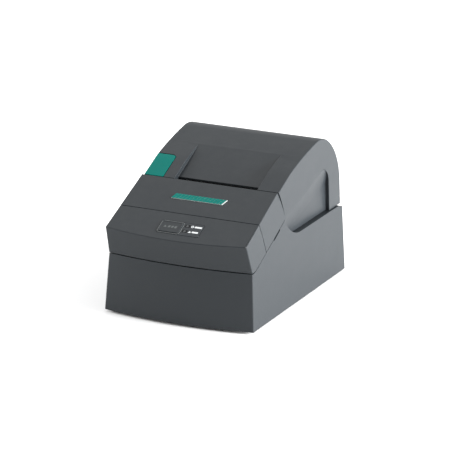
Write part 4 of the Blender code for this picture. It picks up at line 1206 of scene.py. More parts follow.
@dataclass
class BaseHousing:
    """The lower shell: bowed front, flared sides, belt line, ledges, knuckles and rear openings."""

    form: Form
    wall: float = 2.5 * MM
    ledge_drop: float = 0.45 * MM
    ledge: float = 2.0 * MM
    knuckle_x: Pair = mm(55.0, 62.0)
    boss_radius: float = 3.5 * MM
    bore_radius: float = 1.8 * MM
    rounding: Rounding = field(default_factory=lambda: Rounding(outer=0.9 * MM))

    def block(self, name: str, inset: float, top: float, floor: float, skin: Skin) -> Solid:
        """The base's form up to a height, moved in by inset.

        Args:
            name: the object's name.
            inset: distance inside the outer form.
            top: height of the upper end at the rear.
            floor: height of the lower end.
            skin: what its faces belong to.

        Returns:
            The block.
        """
        lay = self.form.layout
        rear_foot, rear_top = (y - inset for y in lay.base_rear)
        outline = [(-130 * MM, floor), (rear_foot, floor), (rear_top, top), (-130 * MM, top)]
        solid = Solid.prism(name, outline, WIDE, skin)
        solid.keep(self.form.width_prism(name + "_width", inset, None, skin))
        return solid.keep(self.form.front_solid(name + "_front", inset, skin))

    def knuckle(self, side: int) -> Solid:
        """A hinge barrel on a neck that runs down into the rear wall.

        Args:
            side: 1 for the right side and -1 for the left.

        Returns:
            The barrel.
        """
        hinge, radius = self.form.layout.hinge, self.form.layout.knuckle_radius
        neck_y, foot_z = hinge[0] + 1.5 * MM, 56 * MM
        outline = arc(hinge, radius, 0, 180, ROUND_SIDES)
        outline += [(hinge[0] - radius, foot_z), (neck_y, foot_z), (neck_y, 60.5 * MM)]
        return Solid.prism("knuckle", outline, mirrored(side, *self.knuckle_x), Skin.FINE)

    def pry_slot(self, side: int) -> Solid:
        """A short slot under the belt line with a sloped lower face.

        Args:
            side: 1 for the right side and -1 for the left.

        Returns:
            The slot as a cutting block.
        """
        lay = self.form.layout
        start_y, end_y, height = -43.5 * MM, -30.5 * MM, 1.3 * MM
        corners = []
        for x, drop in ((66.4 * MM, height), (75 * MM, height + 2.2 * MM)):
            low = Vector((side * x, start_y, lay.belt_height(start_y) - drop))
            corners.append((low, Vector((side * x, start_y, lay.belt_height(start_y) + 1 * MM))))
        (inner_low, inner_high), (outer_low, outer_high) = corners
        rise = lay.belt_height(end_y) - lay.belt_height(start_y)
        return Solid.extruded("pry_slot", [inner_low, outer_low, outer_high, inner_high],
                              Vector((0, end_y - start_y, rise)), Skin.FINE)

    def side_ledges(self, housing: Solid) -> None:
        """The ledge and the upstand that close the gap to the roll cover.

        Args:
            housing: the base so far.
        """
        top = self.form.layout.seam_height - self.ledge_drop
        for side, inner in ((1, 59.4 * MM), (-1, 56.4 * MM)):
            housing.add(Solid.box("ledge", mirrored(side, inner, 68 * MM), mm(-2.0, 101.5),
                                  (top - self.ledge, top), Skin.HIDDEN))
            housing.add(Solid.box("upstand", mirrored(side, inner, inner + 1.2 * MM), mm(-1.5, 94.0),
                                  (top - 1 * MM, top + 3.5 * MM), Skin.FINE))

    def rear_openings(self, housing: Solid) -> None:
        """Holes for the sockets and the switch, each the size of its CAD piece and a gap.

        Args:
            housing: the base so far.
        """
        for node in ("power_socket", "usb_socket", "drawer_socket", "switch_bezel"):
            low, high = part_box(node)
            gap = self.form.layout.gap
            hole = rounded_rect(grown((low.x, high.x), gap), grown((low.z, high.z), gap), 0.8 * MM)
            housing.cut(Solid.rearward("hole", hole, mm(95, 110), Skin.FINE))

    def build(self) -> Piece:
        """Shape the housing.

        Returns:
            The piece.
        """
        lay = self.form.layout
        housing = self.block("housing", 0.0, 100 * MM, lay.foot_height, Skin.OUTER)
        edge = offset_line(lay.base_edge_line(), -lay.seam / 2)
        region = edge + [mm(130, -20), mm(-130, -20)]
        housing.keep(Solid.prism("region", region, WIDER, Skin.SEAM))
        housing.cut(self.block("hollow", self.wall, 110 * MM, -15 * MM, Skin.HIDDEN))
        self.side_ledges(housing)
        housing.cut(Solid.box("rear_edge", mm(-66, 66), mm(99.5, 110), mm(61.2, 70), Skin.SEAM))
        top = lay.seam_height + 0.5 * MM
        chamfer = [(95.5 * MM, top), (110 * MM, top), mm(110, 61.2), mm(98.5, 61.2)]
        housing.cut(Solid.prism("rear_chamfer", chamfer, WIDER, Skin.SEAM))
        for side in (-1, 1):
            housing.add(self.knuckle(side))
            housing.cut(Solid.prism("pin_hole", circle(lay.hinge, lay.pin_hole_radius, ROUND_SIDES),
                                    mirrored(side, 53 * MM, 64 * MM), Skin.HIDDEN))
            housing.cut(self.pry_slot(side))
        self.rear_openings(housing)
        for corner in CORNERS:
            x, y = middle(f"screw_{corner}").xy
            web = mirrored(1 if x > 0 else -1, abs(x), 70.5 * MM)
            boss = circle((x, y), self.boss_radius, ROUND_SIDES)
            housing.add(Solid.upright("boss", boss, mm(6.5, 18), Skin.HIDDEN))
            housing.add(Solid.box("web", web, (y - 1 * MM, y + 1 * MM), mm(7, 18), Skin.HIDDEN))
            bore = circle((x, y), self.bore_radius, ROUND_SIDES)
            housing.cut(Solid.upright("bore", bore, mm(0, 16), Skin.HIDDEN))
        return housing.piece("base_housing_shell", Finish.HOUSING, self.rounding, "base_housing")


# ---------------------------------------------------------------- panels on the slope

@dataclass
class FrontPanel:
    """The nose of the printer, from the notch up to the first seam."""

    form: Form
    window_along: Pair = mm(3.0, 19.5)
    feed_along: Pair = mm(4.5, 18.2)
    key_gap: float = 0.4 * MM
    lamp_hole: float = 1.9 * MM
    lamps: tuple = (("power_led", 5.0 * MM, 15.4 * MM), ("error_led", 5.0 * MM, 8.7 * MM))
    rounding: Rounding = field(default_factory=lambda: Rounding(outer=0.8 * MM))

    def key_opening(self) -> Outline:
        """The feed key's opening on the slope."""
        across = grown(self.form.layout.feed_x, self.key_gap)
        return rounded_rect(across, grown(self.feed_along, self.key_gap), 1.4 * MM)

    def build(self) -> Piece:
        """Shape the panel.

        Returns:
            The piece.
        """
        lay = self.form.layout
        panel = self.form.shell("panel")
        belt = offset_line(lay.base_edge_front(), lay.seam / 2)
        seam = offset_line(lay.panel_seam_line(), -lay.seam / 2)
        lift = 0.4 * MM
        low = [(y, z + lift) for y, z in belt[:2]] + [belt[2]]
        region = low + [seam[-1]] + seam[::-1][1:] + [lay.above(seam), mm(-130, 130)]
        panel.keep(Solid.prism("region", region, WIDER, Skin.SEAM))
        pocket = rounded_rect(lay.window_x, self.window_along, 1.6 * MM)
        panel.cut(Solid.on_slope("pocket", lay, pocket, mm(-1.2, 5), Skin.FINE))
        through = mm(-8, 5)
        panel.cut(Solid.on_slope("feed_hole", lay, self.key_opening(), through, Skin.FINE))
        for _, x, along in self.lamps:
            hole = circle((x, along), self.lamp_hole, ROUND_SIDES)
            panel.cut(Solid.on_slope("lamp_hole", lay, hole, through, Skin.FINE))
        return panel.piece("front_panel_shell", Finish.PANEL, self.rounding, "front_panel")


@dataclass
class CutterCover:
    """The plain panel over the cutter, with a shallow pocket for the badge."""

    form: Form
    badge_along: Pair = mm(48.0, 54.6)
    badge_slant: float = 2.6 * MM
    rounding: Rounding = field(default_factory=Rounding)

    def badge_outline(self, margin: float) -> Outline:
        """The badge's slanted outline, widened by a margin."""
        low_x, high_x = grown(self.form.layout.badge_x, margin)
        low, high = grown(self.badge_along, margin)
        slant = self.badge_slant
        return [(low_x, low), (high_x - slant, low), (high_x, high), (low_x + slant, high)]

    def build(self) -> Piece:
        """Shape the cover.

        Returns:
            The piece.
        """
        lay = self.form.layout
        cover = self.form.shell("cutter")
        front = offset_line(lay.panel_seam_line(), lay.seam / 2)
        rear = offset_line(lay.exit_seam_line(), -lay.seam / 2)
        lift = lay.seam / 2 / math.cos(lay.slope_angle)
        low = [(y, lay.belt_height(y) + lift) for y in (front[-1][0], rear[-1][0])]
        region = [lay.above(front)] + front[:-1] + low + rear[::-1][1:] + [lay.above(rear)]
        cover.keep(Solid.prism("region", region, WIDER, Skin.SEAM))
        pocket = self.badge_outline(lay.gap)
        cover.cut(Solid.on_slope("badge_pocket", lay, pocket, mm(-0.7, 5), Skin.FINE))
        return cover.piece("cutter_cover_shell", Finish.PANEL, self.rounding, "cutter_cover")


@dataclass
class Badge:
    """A plain faceted badge: slanted green facets on a silver plate that shows at its right end."""

    cover: CutterCover
    facets: int = 15
    rim: float = 0.1 * MM
    end: float = 0.7 * MM
    groove: float = 0.24 * MM
    sunk: float = 0.2 * MM
    wedge: float = 0.14 * MM
    heights: tuple = (-0.35 * MM, 0.42 * MM, 0.6 * MM)
    faces: tuple = ((3, 2, 1, 0), (4, 5, 6, 7), (0, 1, 5, 4), (1, 2, 6, 5), (2, 3, 7, 6), (3, 0, 4, 7))

    def plate(self) -> Solid:
        """The silver plate whose edge shows round the facets.

        Returns:
            The plate.
        """
        base, rim_top, _ = self.heights
        lay, outline = self.cover.form.layout, self.cover.badge_outline(0.0)
        return Solid.on_slope("badge_plate", lay, outline, (base, rim_top), Skin.FINE)

    def facet(self, index: int) -> list:
        """One green facet's eight corners: a wedge, higher on its left, with slanted ends.

        Args:
            index: its number in the row.

        Returns:
            The corners, lower four first.
        """
        lay = self.cover.form.layout
        _, rim_top, top = self.heights
        low, high = grown(self.cover.badge_along, -self.rim)
        left, right = lay.badge_x[0] + self.rim, lay.badge_x[1] - self.end
        slant = self.cover.badge_slant
        step = (right - left - slant) / self.facets
        start, end = left + step * index, left + step * (index + 1) - self.groove
        corners = []
        for depth_left, depth_right in ((rim_top - self.sunk,) * 2, (top, top - self.wedge)):
            for x, along, depth in ((start, low, depth_left), (end, low, depth_right),
                                    (end + slant, high, depth_right), (start + slant, high, depth_left)):
                corners.append(lay.slope_point(x, along, depth))
        return corners

    def build(self) -> list[Piece]:
        """Shape the plate and the row of facets.

        Returns:
            The pieces.
        """
        plate = self.plate().finished(Rounding(fine=0.12 * MM), Finish.SILVER.material())
        plate.name = "badge_rim"
        bm = bmesh.new()
        for index in range(self.facets):
            corners = [bm.verts.new(corner) for corner in self.facet(index)]
            for face in self.faces:
                bm.faces.new([corners[number] for number in face])
        facets = Solid("badge_facets", bm, Skin.FINE).finished(Rounding(fine=0.05 * MM, segments=1),
                                                               Finish.GREEN.material())
        return [Piece(plate, "base", Finish.SILVER), Piece(facets, "base", Finish.GREEN, ("badge",))]


@dataclass
class Controls:
    """The control film, the feed key, the two lamps and their generic marks."""

    panel: FrontPanel
    outline_width: float = 0.38 * MM
    film_top: float = 0.1 * MM
    mark: float = 0.06 * MM
    lamp_opening: float = 1.8 * MM

    def ring(self, name: str, outer: Outline, inner: Outline, depth: Pair) -> Solid:
        """A flat ring between two outlines on the slope.

        Args:
            name: the object's name.
            outer: the outer outline.
            inner: the inner outline.
            depth: limits normal to the slope.

        Returns:
            The ring.
        """
        lay = self.panel.form.layout
        ring = Solid.on_slope(name, lay, outer, depth, Skin.HIDDEN)
        return ring.cut(Solid.on_slope(name + "_hole", lay, inner, grown(depth, 1 * MM), Skin.HIDDEN))

    def film(self) -> Piece:
        """The film over the control area, with holes for the key and the lamps.

        Returns:
            The piece.
        """
        panel, lay = self.panel, self.panel.form.layout
        across, upwards = grown(lay.window_x, -lay.gap), grown(panel.window_along, -lay.gap)
        outline = rounded_rect(across, upwards, 1.4 * MM)
        film = Solid.on_slope("film", lay, outline, (-0.9 * MM, self.film_top), Skin.FINE)
        through = mm(-3, 3)
        film.cut(Solid.on_slope("key_hole", lay, panel.key_opening(), through, Skin.FINE))
        for _, x, along in panel.lamps:
            hole = circle((x, along), self.lamp_opening, ROUND_SIDES)
            film.cut(Solid.on_slope("lamp_hole", lay, hole, through, Skin.FINE))
        return film.piece("control_film", Finish.FILM, Rounding(fine=0.08 * MM, segments=2),
                          "control_window")

    def key(self) -> Piece:
        """The feed key: a rounded cap with a slightly raised rim and a plunger behind.

        Returns:
            The piece.
        """
        panel, lay = self.panel, self.panel.form.layout
        outline = rounded_rect(lay.feed_x, panel.feed_along, 1.1 * MM)
        cap = Solid.on_slope("key", lay, outline, mm(-3.5, 0.9))
        dish = rounded_rect(grown(lay.feed_x, -1.0 * MM), grown(panel.feed_along, -1.0 * MM), 0.8 * MM)
        cap.cut(Solid.on_slope("dish", lay, dish, mm(0.65, 3.0), Skin.FINE))
        centre_x, centre = sum(lay.feed_x) / 2, sum(panel.feed_along) / 2
        half = 2 * MM
        plunger = rounded_rect(grown((centre_x, centre_x), half), grown((centre, centre), half), 0.6 * MM)
        cap.add(Solid.on_slope("plunger", lay, plunger, mm(-6.4, -3.0), Skin.HIDDEN))
        return cap.piece("feed_key", Finish.KEY, Rounding(outer=0.3 * MM, fine=0.15 * MM),
                         "feed_button", body="feed_button")

    def key_marks(self) -> Piece:
        """A generic paper-feed mark on the key: an arrow head and three slanted bars, printed faintly.

        Returns:
            The piece.
        """
        panel, lay = self.panel, self.panel.form.layout
        x, along = sum(lay.feed_x) / 2, sum(panel.feed_along) / 2
        depth = (0.55 * MM, 0.65 * MM + self.mark)
        half, first = 1.25 * MM, x - 5.2 * MM
        low, high, reach = along - half, along + half, 1.5 * MM
        arrow = [(first - reach, low), (first + reach, low), (first, high)]
        marks = Solid.on_slope("arrow", lay, arrow, depth, Skin.HIDDEN)
        lean, width = 0.5 * MM, 1.9 * MM
        for index in range(3):
            left = first + (2.6 + 3.1 * index) * MM
            right = left + width
            bar = [(left, low), (right, low), (right + lean, high), (left + lean, high)]
            marks.add(Solid.on_slope("bar", lay, bar, depth, Skin.HIDDEN))
        return marks.piece("feed_mark", Finish.FAINT, Rounding(), body="feed_button")

    def key_outline(self) -> Piece:
        """The thin light outline round the key.

        Returns:
            The piece.
        """
        panel, lay = self.panel, self.panel.form.layout
        depth = (self.film_top - 0.1 * MM, self.film_top + self.mark)
        start, width = panel.key_gap + 0.02 * MM, self.outline_width
        key_x, key_y = grown(lay.feed_x, start), grown(panel.feed_along, start)
        ring = self.ring("outline", rounded_rect(grown(key_x, width), grown(key_y, width), 2.2 * MM),
                         rounded_rect(key_x, key_y, 1.8 * MM), depth)
        return ring.piece("key_outline", Finish.OUTLINE, Rounding())

    def lamp(self, node: str, x: float, along: float) -> Piece:
        """A domed lamp lens in its hole.

        Args:
            node: the CAD node's name.
            x: place along X.
            along: place along the slope.

        Returns:
            The piece.
        """
        lay = self.panel.form.layout
        radius, top, dome, rings = 1.5 * MM, 0.25 * MM, 0.35 * MM, 5
        bm = bmesh.new()
        spine = [(radius, -6.5 * MM), (radius, top - dome)]
        for ring in range(1, rings):
            rise = math.radians(90 * ring / rings)
            spine.append((radius * math.cos(rise), top - dome + dome * math.sin(rise)))
        loops = []
        for reach, depth in spine:
            outline = circle((x, along), reach, 24)
            loops.append([bm.verts.new(lay.slope_point(px, pa, depth)) for px, pa in outline])
        for lower, upper in zip(loops, loops[1:]):
            for index, vertex in enumerate(lower):
                after = (index + 1) % len(lower)
                bm.faces.new((vertex, lower[after], upper[after], upper[index]))
        bm.faces.new(loops[0])
        bm.faces.new(loops[-1])
        item = Solid(node + "_lens", bm, Skin.HIDDEN).finished(Rounding(), Finish.LENS.material())
        for polygon in item.data.polygons:
            polygon.use_smooth = True
        return Piece(item, "base", Finish.LENS, (node,))

    def lamp_fields(self) -> Piece:
        """A dark printed field round each lamp.

        Returns:
            The piece.
        """
        lay = self.panel.form.layout
        depth = (self.film_top - 0.1 * MM, self.film_top + self.mark / 2)
        fields = None
        for _, x, along in self.panel.lamps:
            across = (x - 2.1 * MM, x + 2.7 * MM)
            outline = rounded_rect(across, grown((along, along), 1.75 * MM), 0.5 * MM)
            one = self.ring("field", outline, circle((x, along), 1.6 * MM, ROUND_SIDES), depth)
            fields = fields.add(one) if fields else one
        return fields.piece("lamp_fields", Finish.SHADE, Rounding())

    def lamp_marks(self) -> Piece:
        """A generic mark beside each lamp: a power symbol and a warning triangle, each with a bar.

        Returns:
            The piece.
        """
        lay = self.panel.form.layout
        depth = (self.film_top - 0.1 * MM, self.film_top + self.mark)
        (_, x, upper), (_, _, lower) = self.panel.lamps
        start = x + 5.0 * MM
        marks = self.ring("power_ring", circle((start, upper), 1.35 * MM, 32),
                          circle((start, upper), 0.7 * MM, 32), depth)
        triangle = [(start - 1.5 * MM, lower - 1.2 * MM), (start + 1.5 * MM, lower - 1.2 * MM),
                    (start, lower + 1.4 * MM)]
        marks.add(Solid.on_slope("triangle", lay, triangle, depth, Skin.HIDDEN))
        for along, end in ((upper, 9.0 * MM), (lower, 8.0 * MM)):
            bar = rounded_rect((start + 2.1 * MM, start + end), grown((along, along), 1.0 * MM), 0.5 * MM)
            marks.add(Solid.on_slope("bar", lay, bar, depth, Skin.HIDDEN))
        return marks.piece("lamp_marks", Finish.INK, Rounding())

    def build(self) -> list[Piece]:
        """All the pieces of the control area.

        Returns:
            The pieces.
        """
        lamps = [self.lamp(*lamp) for lamp in self.panel.lamps]
        return [self.film(), self.key(), self.key_marks(), self.key_outline(), self.lamp_fields(),
                self.lamp_marks(), *lamps]


# ---------------------------------------------------------------- roll cover and open button

@dataclass
class OpenButton:
    """The green corner of the roof line that releases the cover."""

    form: Form
    right: float = -45.5 * MM
    top: float = 104.2 * MM
    deep: float = 6.5 * MM
    travel: float = 3.0 * MM
    corner: float = 4.0 * MM
    skirt: Pair = mm(1.5, 13.5)
    rounding: Rounding = field(
        default_factory=lambda: Rounding(outer=0.8 * MM, seam=0.55 * MM, segments=4))

    def outline(self, margin: float) -> Outline:
        """(x, along) outline with one rounded corner, open towards the cover's left side.

        Args:
            margin: how far the outline is moved out.

        Returns:
            The outline on the slope.
        """
        low = self.form.layout.exit_seam + self.form.layout.seam - margin
        right, top, radius = self.right + margin, self.top + margin, self.corner + margin
        corner = arc((right - radius, top - radius), radius, 0, 90, 16)
        return [(-80 * MM, low), (right, low)] + corner + [(-80 * MM, top)]

    def build(self) -> Piece:
        """Shape the cap, its skirt inside the cover and its plunger.

        Returns:
            The piece.
        """
        lay = self.form.layout
        cap = self.form.envelope("button", 0.0, (lay.cover_left, lay.cover_right))
        cap.keep(Solid.on_slope("shape", lay, self.outline(0.0), (-self.deep, 20 * MM), Skin.SEAM))
        low, high = lay.exit_seam + lay.seam, self.top
        left = lay.cover_left
        across, upwards = (left + 2 * MM, self.right - 2 * MM), (low + 2 * MM, high - 3 * MM)
        hollow = rounded_rect(across, upwards, 0.5 * MM)
        cap.cut(Solid.on_slope("hollow", lay, hollow, mm(-12, -3.5), Skin.HIDDEN))
        thick, reach = self.skirt
        start = left + lay.wall + lay.seam
        skirt = [(start, low + 1 * MM), (start + thick, low + 1 * MM), (start + thick, high - 1 * MM),
                 (start, high - 1 * MM)]
        cap.add(Solid.on_slope("skirt", lay, skirt, (-reach, -2.8 * MM), Skin.HIDDEN))
        plunger = [mm(-57.5, 95), mm(-54, 95), mm(-54, 99), mm(-57.5, 99)]
        cap.add(Solid.on_slope("plunger", lay, plunger, mm(-12.3, -2.8), Skin.HIDDEN))
        return cap.piece("open_button_cap", Finish.GREEN, self.rounding, "open_button",
                         body="open_button")


@dataclass
class RollCover:
    """The hinged cover: sunken paper exit, finger recesses, button well and knuckles."""

    form: Form
    button: OpenButton
    recess_depth: float = 3.6 * MM
    recess_ramp: float = 0.2
    crease: tuple = (mm(-18.9, 83.0), mm(61.5, 105.5))
    exit_rear: Pair = mm(14.0, 127.4)
    slot_gap: float = 7.4 * MM
    rounding: Rounding = field(default_factory=lambda: Rounding(outer=0.8 * MM, feature=0.45 * MM))

    def exit_block(self, margin: float, drop: float, skin: Skin) -> Solid:
        """Space above the exit floor, with the floor lowered and the sides moved out.

        Args:
            margin: how far the sides are moved out.
            drop: how far the floor is lowered.
            skin: what its faces belong to.

        Returns:
            The block.
        """
        lay = self.form.layout
        front_y, front_z = lay.on_slope(lay.exit_seam, -4.2 * MM)
        rear_y, rear_z = self.exit_rear
        slope = (rear_z - front_z) / (rear_y - front_y)
        reach = 20 * MM
        outline = [(front_y - reach, front_z - reach * slope - drop),
                   (rear_y + reach, rear_z + reach * slope - drop),
                   (rear_y + reach, 160 * MM), (front_y - reach, 160 * MM)]
        return Solid.prism("exit", outline, grown(lay.slot_x, margin), skin)

    def recess(self, side: int, margin: float, skin: Skin) -> Solid:
        """A finger recess from its floor outwards, cut off by the ramp plane along the crease.

        Args:
            side: 1 for the right side and -1 for the left.
            margin: how far the recess is widened and deepened.
            skin: what its faces belong to.

        Returns:
            The block to cut away.
        """
        lay = self.form.layout
        outer = lay.cover_right if side > 0 else -lay.cover_left
        corner = arc(mm(61.0, 91.5), 14.5 * MM + margin, 80, 5, 20)
        outline = [mm(-30, 58), mm(-30, 108)] + corner + [(77.8 * MM + margin, 58 * MM)]
        bm = bmesh.new()
        reaches = (outer - self.recess_depth - margin, outer + 12 * MM)
        loops = [[bm.verts.new((side * x, y, z)) for y, z in outline] for x in reaches]
        for loop in loops:
            bm.faces.new(loop)
        for index, vertex in enumerate(loops[0]):
            after = (index + 1) % len(outline)
            bm.faces.new((vertex, loops[0][after], loops[1][after], loops[1][index]))
        (start_y, start_z), (end_y, end_z) = self.crease
        run = Vector((0, end_y - start_y, end_z - start_z)).normalized()
        inward = Vector((-side * self.recess_ramp, run.z, -run.y))
        normal = run.cross(inward)
        if normal.x * side < 0:
            normal = -normal
        start = Vector((side * (outer - margin), start_y, start_z))
        parts = bm.verts[:] + bm.edges[:] + bm.faces[:]
        trimmed = bmesh.ops.bisect_plane(bm, geom=parts, dist=0.000001, plane_co=start, plane_no=normal,
                                         clear_inner=True)
        rim = [item for item in trimmed["geom_cut"] if isinstance(item, bmesh.types.BMEdge)]
        bmesh.ops.contextual_create(bm, geom=rim)
        return Solid("recess", bm, skin)

    def knuckles(self, cover: Solid) -> None:
        """Notches for the base's knuckles, and the cover's own on the same pin.

        Args:
            cover: the cover so far.
        """
        lay = self.form.layout
        radius = lay.knuckle_radius
        for side in (-1, 1):
            room = mirrored(side, 54.4 * MM, 62.6 * MM)
            cover.cut(Solid.box("notch", room, mm(96.5, 110), mm(60, 69.5), Skin.FINE))
            outline = arc(lay.hinge, radius, 180, 360, ROUND_SIDES)
            outline += [(lay.hinge[0] + radius, 71 * MM), (lay.hinge[0] - radius, 71 * MM)]
            ear = Solid.prism("ear", outline, mirrored(side, 46.5 * MM, 54 * MM), Skin.FINE)
            ear.keep(Solid.prism("limit", lay.below_roof(0.1 * MM), WIDER, Skin.FINE))
            cover.add(ear)
            cover.cut(Solid.prism("pin_hole", circle(lay.hinge, lay.pin_hole_radius, ROUND_SIDES),
                                  mirrored(side, 45 * MM, 56 * MM), Skin.HIDDEN))

    def build(self) -> Piece:
        """Shape the cover.

        Returns:
            The piece.
        """
        lay = self.form.layout
        sides = (lay.cover_left, lay.cover_right)
        cover = self.form.envelope("cover", 0.0, sides)
        inside = self.form.envelope("inside", lay.wall, sides, Skin.HIDDEN)
        inside.cut(self.exit_block(lay.wall, lay.wall, Skin.HIDDEN))
        for side in (-1, 1):
            inside.cut(self.recess(side, lay.wall, Skin.HIDDEN))
        cover.cut(inside)
        seam = offset_line(lay.exit_seam_line(), lay.seam / 2)
        edge = offset_line(lay.base_edge_line(), lay.seam / 2)
        region = [lay.above(seam)] + seam[:-1] + edge[4:] + [mm(130, 160), mm(-40, 160)]
        cover.keep(Solid.prism("region", region, WIDER, Skin.SEAM))
        cover.cut(self.exit_block(0.0, 0.0, Skin.FEATURE))
        slot = [(-5 * MM + lay.exit_seam, -12 * MM), (lay.exit_seam + self.slot_gap, -12 * MM),
                (lay.exit_seam + self.slot_gap, 10 * MM), (lay.exit_seam - 5 * MM, 10 * MM)]
        cover.cut(Solid.prism("slot", [lay.on_slope(*point) for point in slot],
                              grown(lay.slot_x, -0.01 * MM), Skin.SEAM))
        for side in (-1, 1):
            cover.cut(self.recess(side, 0.0, Skin.FEATURE))
        floor = -self.button.deep - self.button.travel - 1 * MM
        cover.cut(Solid.on_slope("well", lay, self.button.outline(lay.seam), (floor, 20 * MM), Skin.SEAM))
        self.knuckles(cover)
        return cover.piece("roll_cover_shell", Finish.PANEL, self.rounding, "roll_cover",
                           body="roll_cover")


# ---------------------------------------------------------------- geometry nodes

class GeometryTree:
    """A Geometry Nodes tree with named inputs that ends in one material and one output."""

    def __init__(self, name: str, takes_geometry: bool = False, **inputs: float) -> None:
        """Start the tree.

        Args:
            name: the tree's name.
            takes_geometry: whether the modifier's own mesh feeds the tree.
            inputs: named sizes (floats) and counts (whole numbers) with their defaults.
        """
        self.tree = bpy.data.node_groups.new(name, "GeometryNodeTree")
        self.tree.is_modifier = True
        face = self.tree.interface
        if takes_geometry:
            face.new_socket("Geometry", in_out="INPUT", socket_type="NodeSocketGeometry")
        for label, value in inputs.items():
            kind = "NodeSocketInt" if isinstance(value, int) else "NodeSocketFloat"
            socket = face.new_socket(label.replace("_", " "), in_out="INPUT", socket_type=kind)
            socket.default_value = value
        face.new_socket("Geometry", in_out="OUTPUT", socket_type="NodeSocketGeometry")
        self.start = self.tree.nodes.new("NodeGroupInput")
        self.end = self.tree.nodes.new("NodeGroupOutput")

    def value(self, label: str) -> Socket:
        """The socket of a named input."""
        return self.start.outputs[label]

    def node(self, kind: str, inputs: dict, **settings: object) -> Node:
        """Add a node; inputs maps a socket's label or index to a socket or a constant.

        Args:
            kind: the node's type.
            inputs: sockets or constants by the input's label or index.
            settings: the node's own settings.

        Returns:
            The new node.
        """
        made = self.tree.nodes.new(kind)
        for label, setting in settings.items():
            setattr(made, label, setting)
        for label, value in inputs.items():
            if isinstance(value, Socket):
                self.tree.links.new(value, made.inputs[label])
            else:
                made.inputs[label].default_value = value
        return made

    def result(self, kind: str, inputs: dict, **settings: object) -> Socket:
        """Add a node and give its first output."""
        return self.node(kind, inputs, **settings).outputs[0]

    def maths(self, operation: str, first: Value, second: Value) -> Socket:
        """A Math node on two sockets or numbers."""
        return self.result("ShaderNodeMath", {0: first, 1: second}, operation=operation)

    def times(self, first: Value, second: Value) -> Socket:
        """The product of two sockets or numbers."""
        return self.maths("MULTIPLY", first, second)

    def vector(self, x: Value = 0.0, y: Value = 0.0, z: Value = 0.0) -> Socket:
        """A vector from sockets or numbers."""
        return self.result("ShaderNodeCombineXYZ", {0: x, 1: y, 2: z})

    def join(self, *parts: Socket) -> Socket:
        """Several geometries as one.

        Args:
            parts: the geometries.

        Returns:
            The joined geometry.
        """
        made = self.tree.nodes.new("GeometryNodeJoinGeometry")
        for part in parts:
            self.tree.links.new(part, made.inputs[0])
        return made.outputs[0]

    def finish(self, geometry: Socket, material: Material,
               sharp_from: float = 0.6) -> NodeTree:
        """Realize, shade smooth below an angle, set the material and connect the output.

        Args:
            geometry: what the tree has made.
            material: its material.
            sharp_from: angle from which an edge stays sharp, in radians.

        Returns:
            The finished tree.
        """
        whole = self.result("GeometryNodeRealizeInstances", {0: geometry})
        smooth = self.result("GeometryNodeSetShadeSmooth", {"Geometry": whole, "Shade Smooth": True},
                             domain="FACE")
        angle = self.node("GeometryNodeInputMeshEdgeAngle", {}).outputs["Unsigned Angle"]
        sharp = self.result("FunctionNodeCompare", {0: angle, 1: sharp_from}, data_type="FLOAT",
                            operation="GREATER_THAN")
        edged = self.result("GeometryNodeSetShadeSmooth",
                            {"Geometry": smooth, "Selection": sharp, "Shade Smooth": False},
                            domain="EDGE")
        done = self.result("GeometryNodeSetMaterial", {"Geometry": edged, "Material": material})
        self.tree.links.new(done, self.end.inputs[0])
        return self.tree


def grow_mesh(name: str, tree: NodeTree, material: Material, seeds: Iterable = (),
              item: Optional[bpy.types.Object] = None, **values: float) -> bpy.types.Object:
    """Run a tree on an object and bake the result into plain mesh.

    Args:
        name: the object's name.
        tree: the finished Geometry Nodes tree.
        material: the one material of the result.
        seeds: points the tree may place its parts on.
        item: an object to run the tree on in place of a new one.
        values: the modifier's inputs, named like the tree's with underscores for spaces.

    Returns:
        A plain mesh object.
    """
    if item is None:
        mesh = bpy.data.meshes.new(name)
        mesh.from_pydata([tuple(seed) for seed in seeds], [], [])
        item = bpy.data.objects.new(name, mesh)
        bpy.context.scene.collection.objects.link(item)
    item.name = name
    modifier = item.modifiers.new("grown", "NODES")
    modifier.node_group = tree
    for socket in tree.interface.items_tree:
        label = socket.name.replace(" ", "_")
        if socket.in_out == "INPUT" and label in values:
            modifier[socket.identifier] = values[label]
    return bake_modifiers(item, material)


WELD = 0.01 * MM


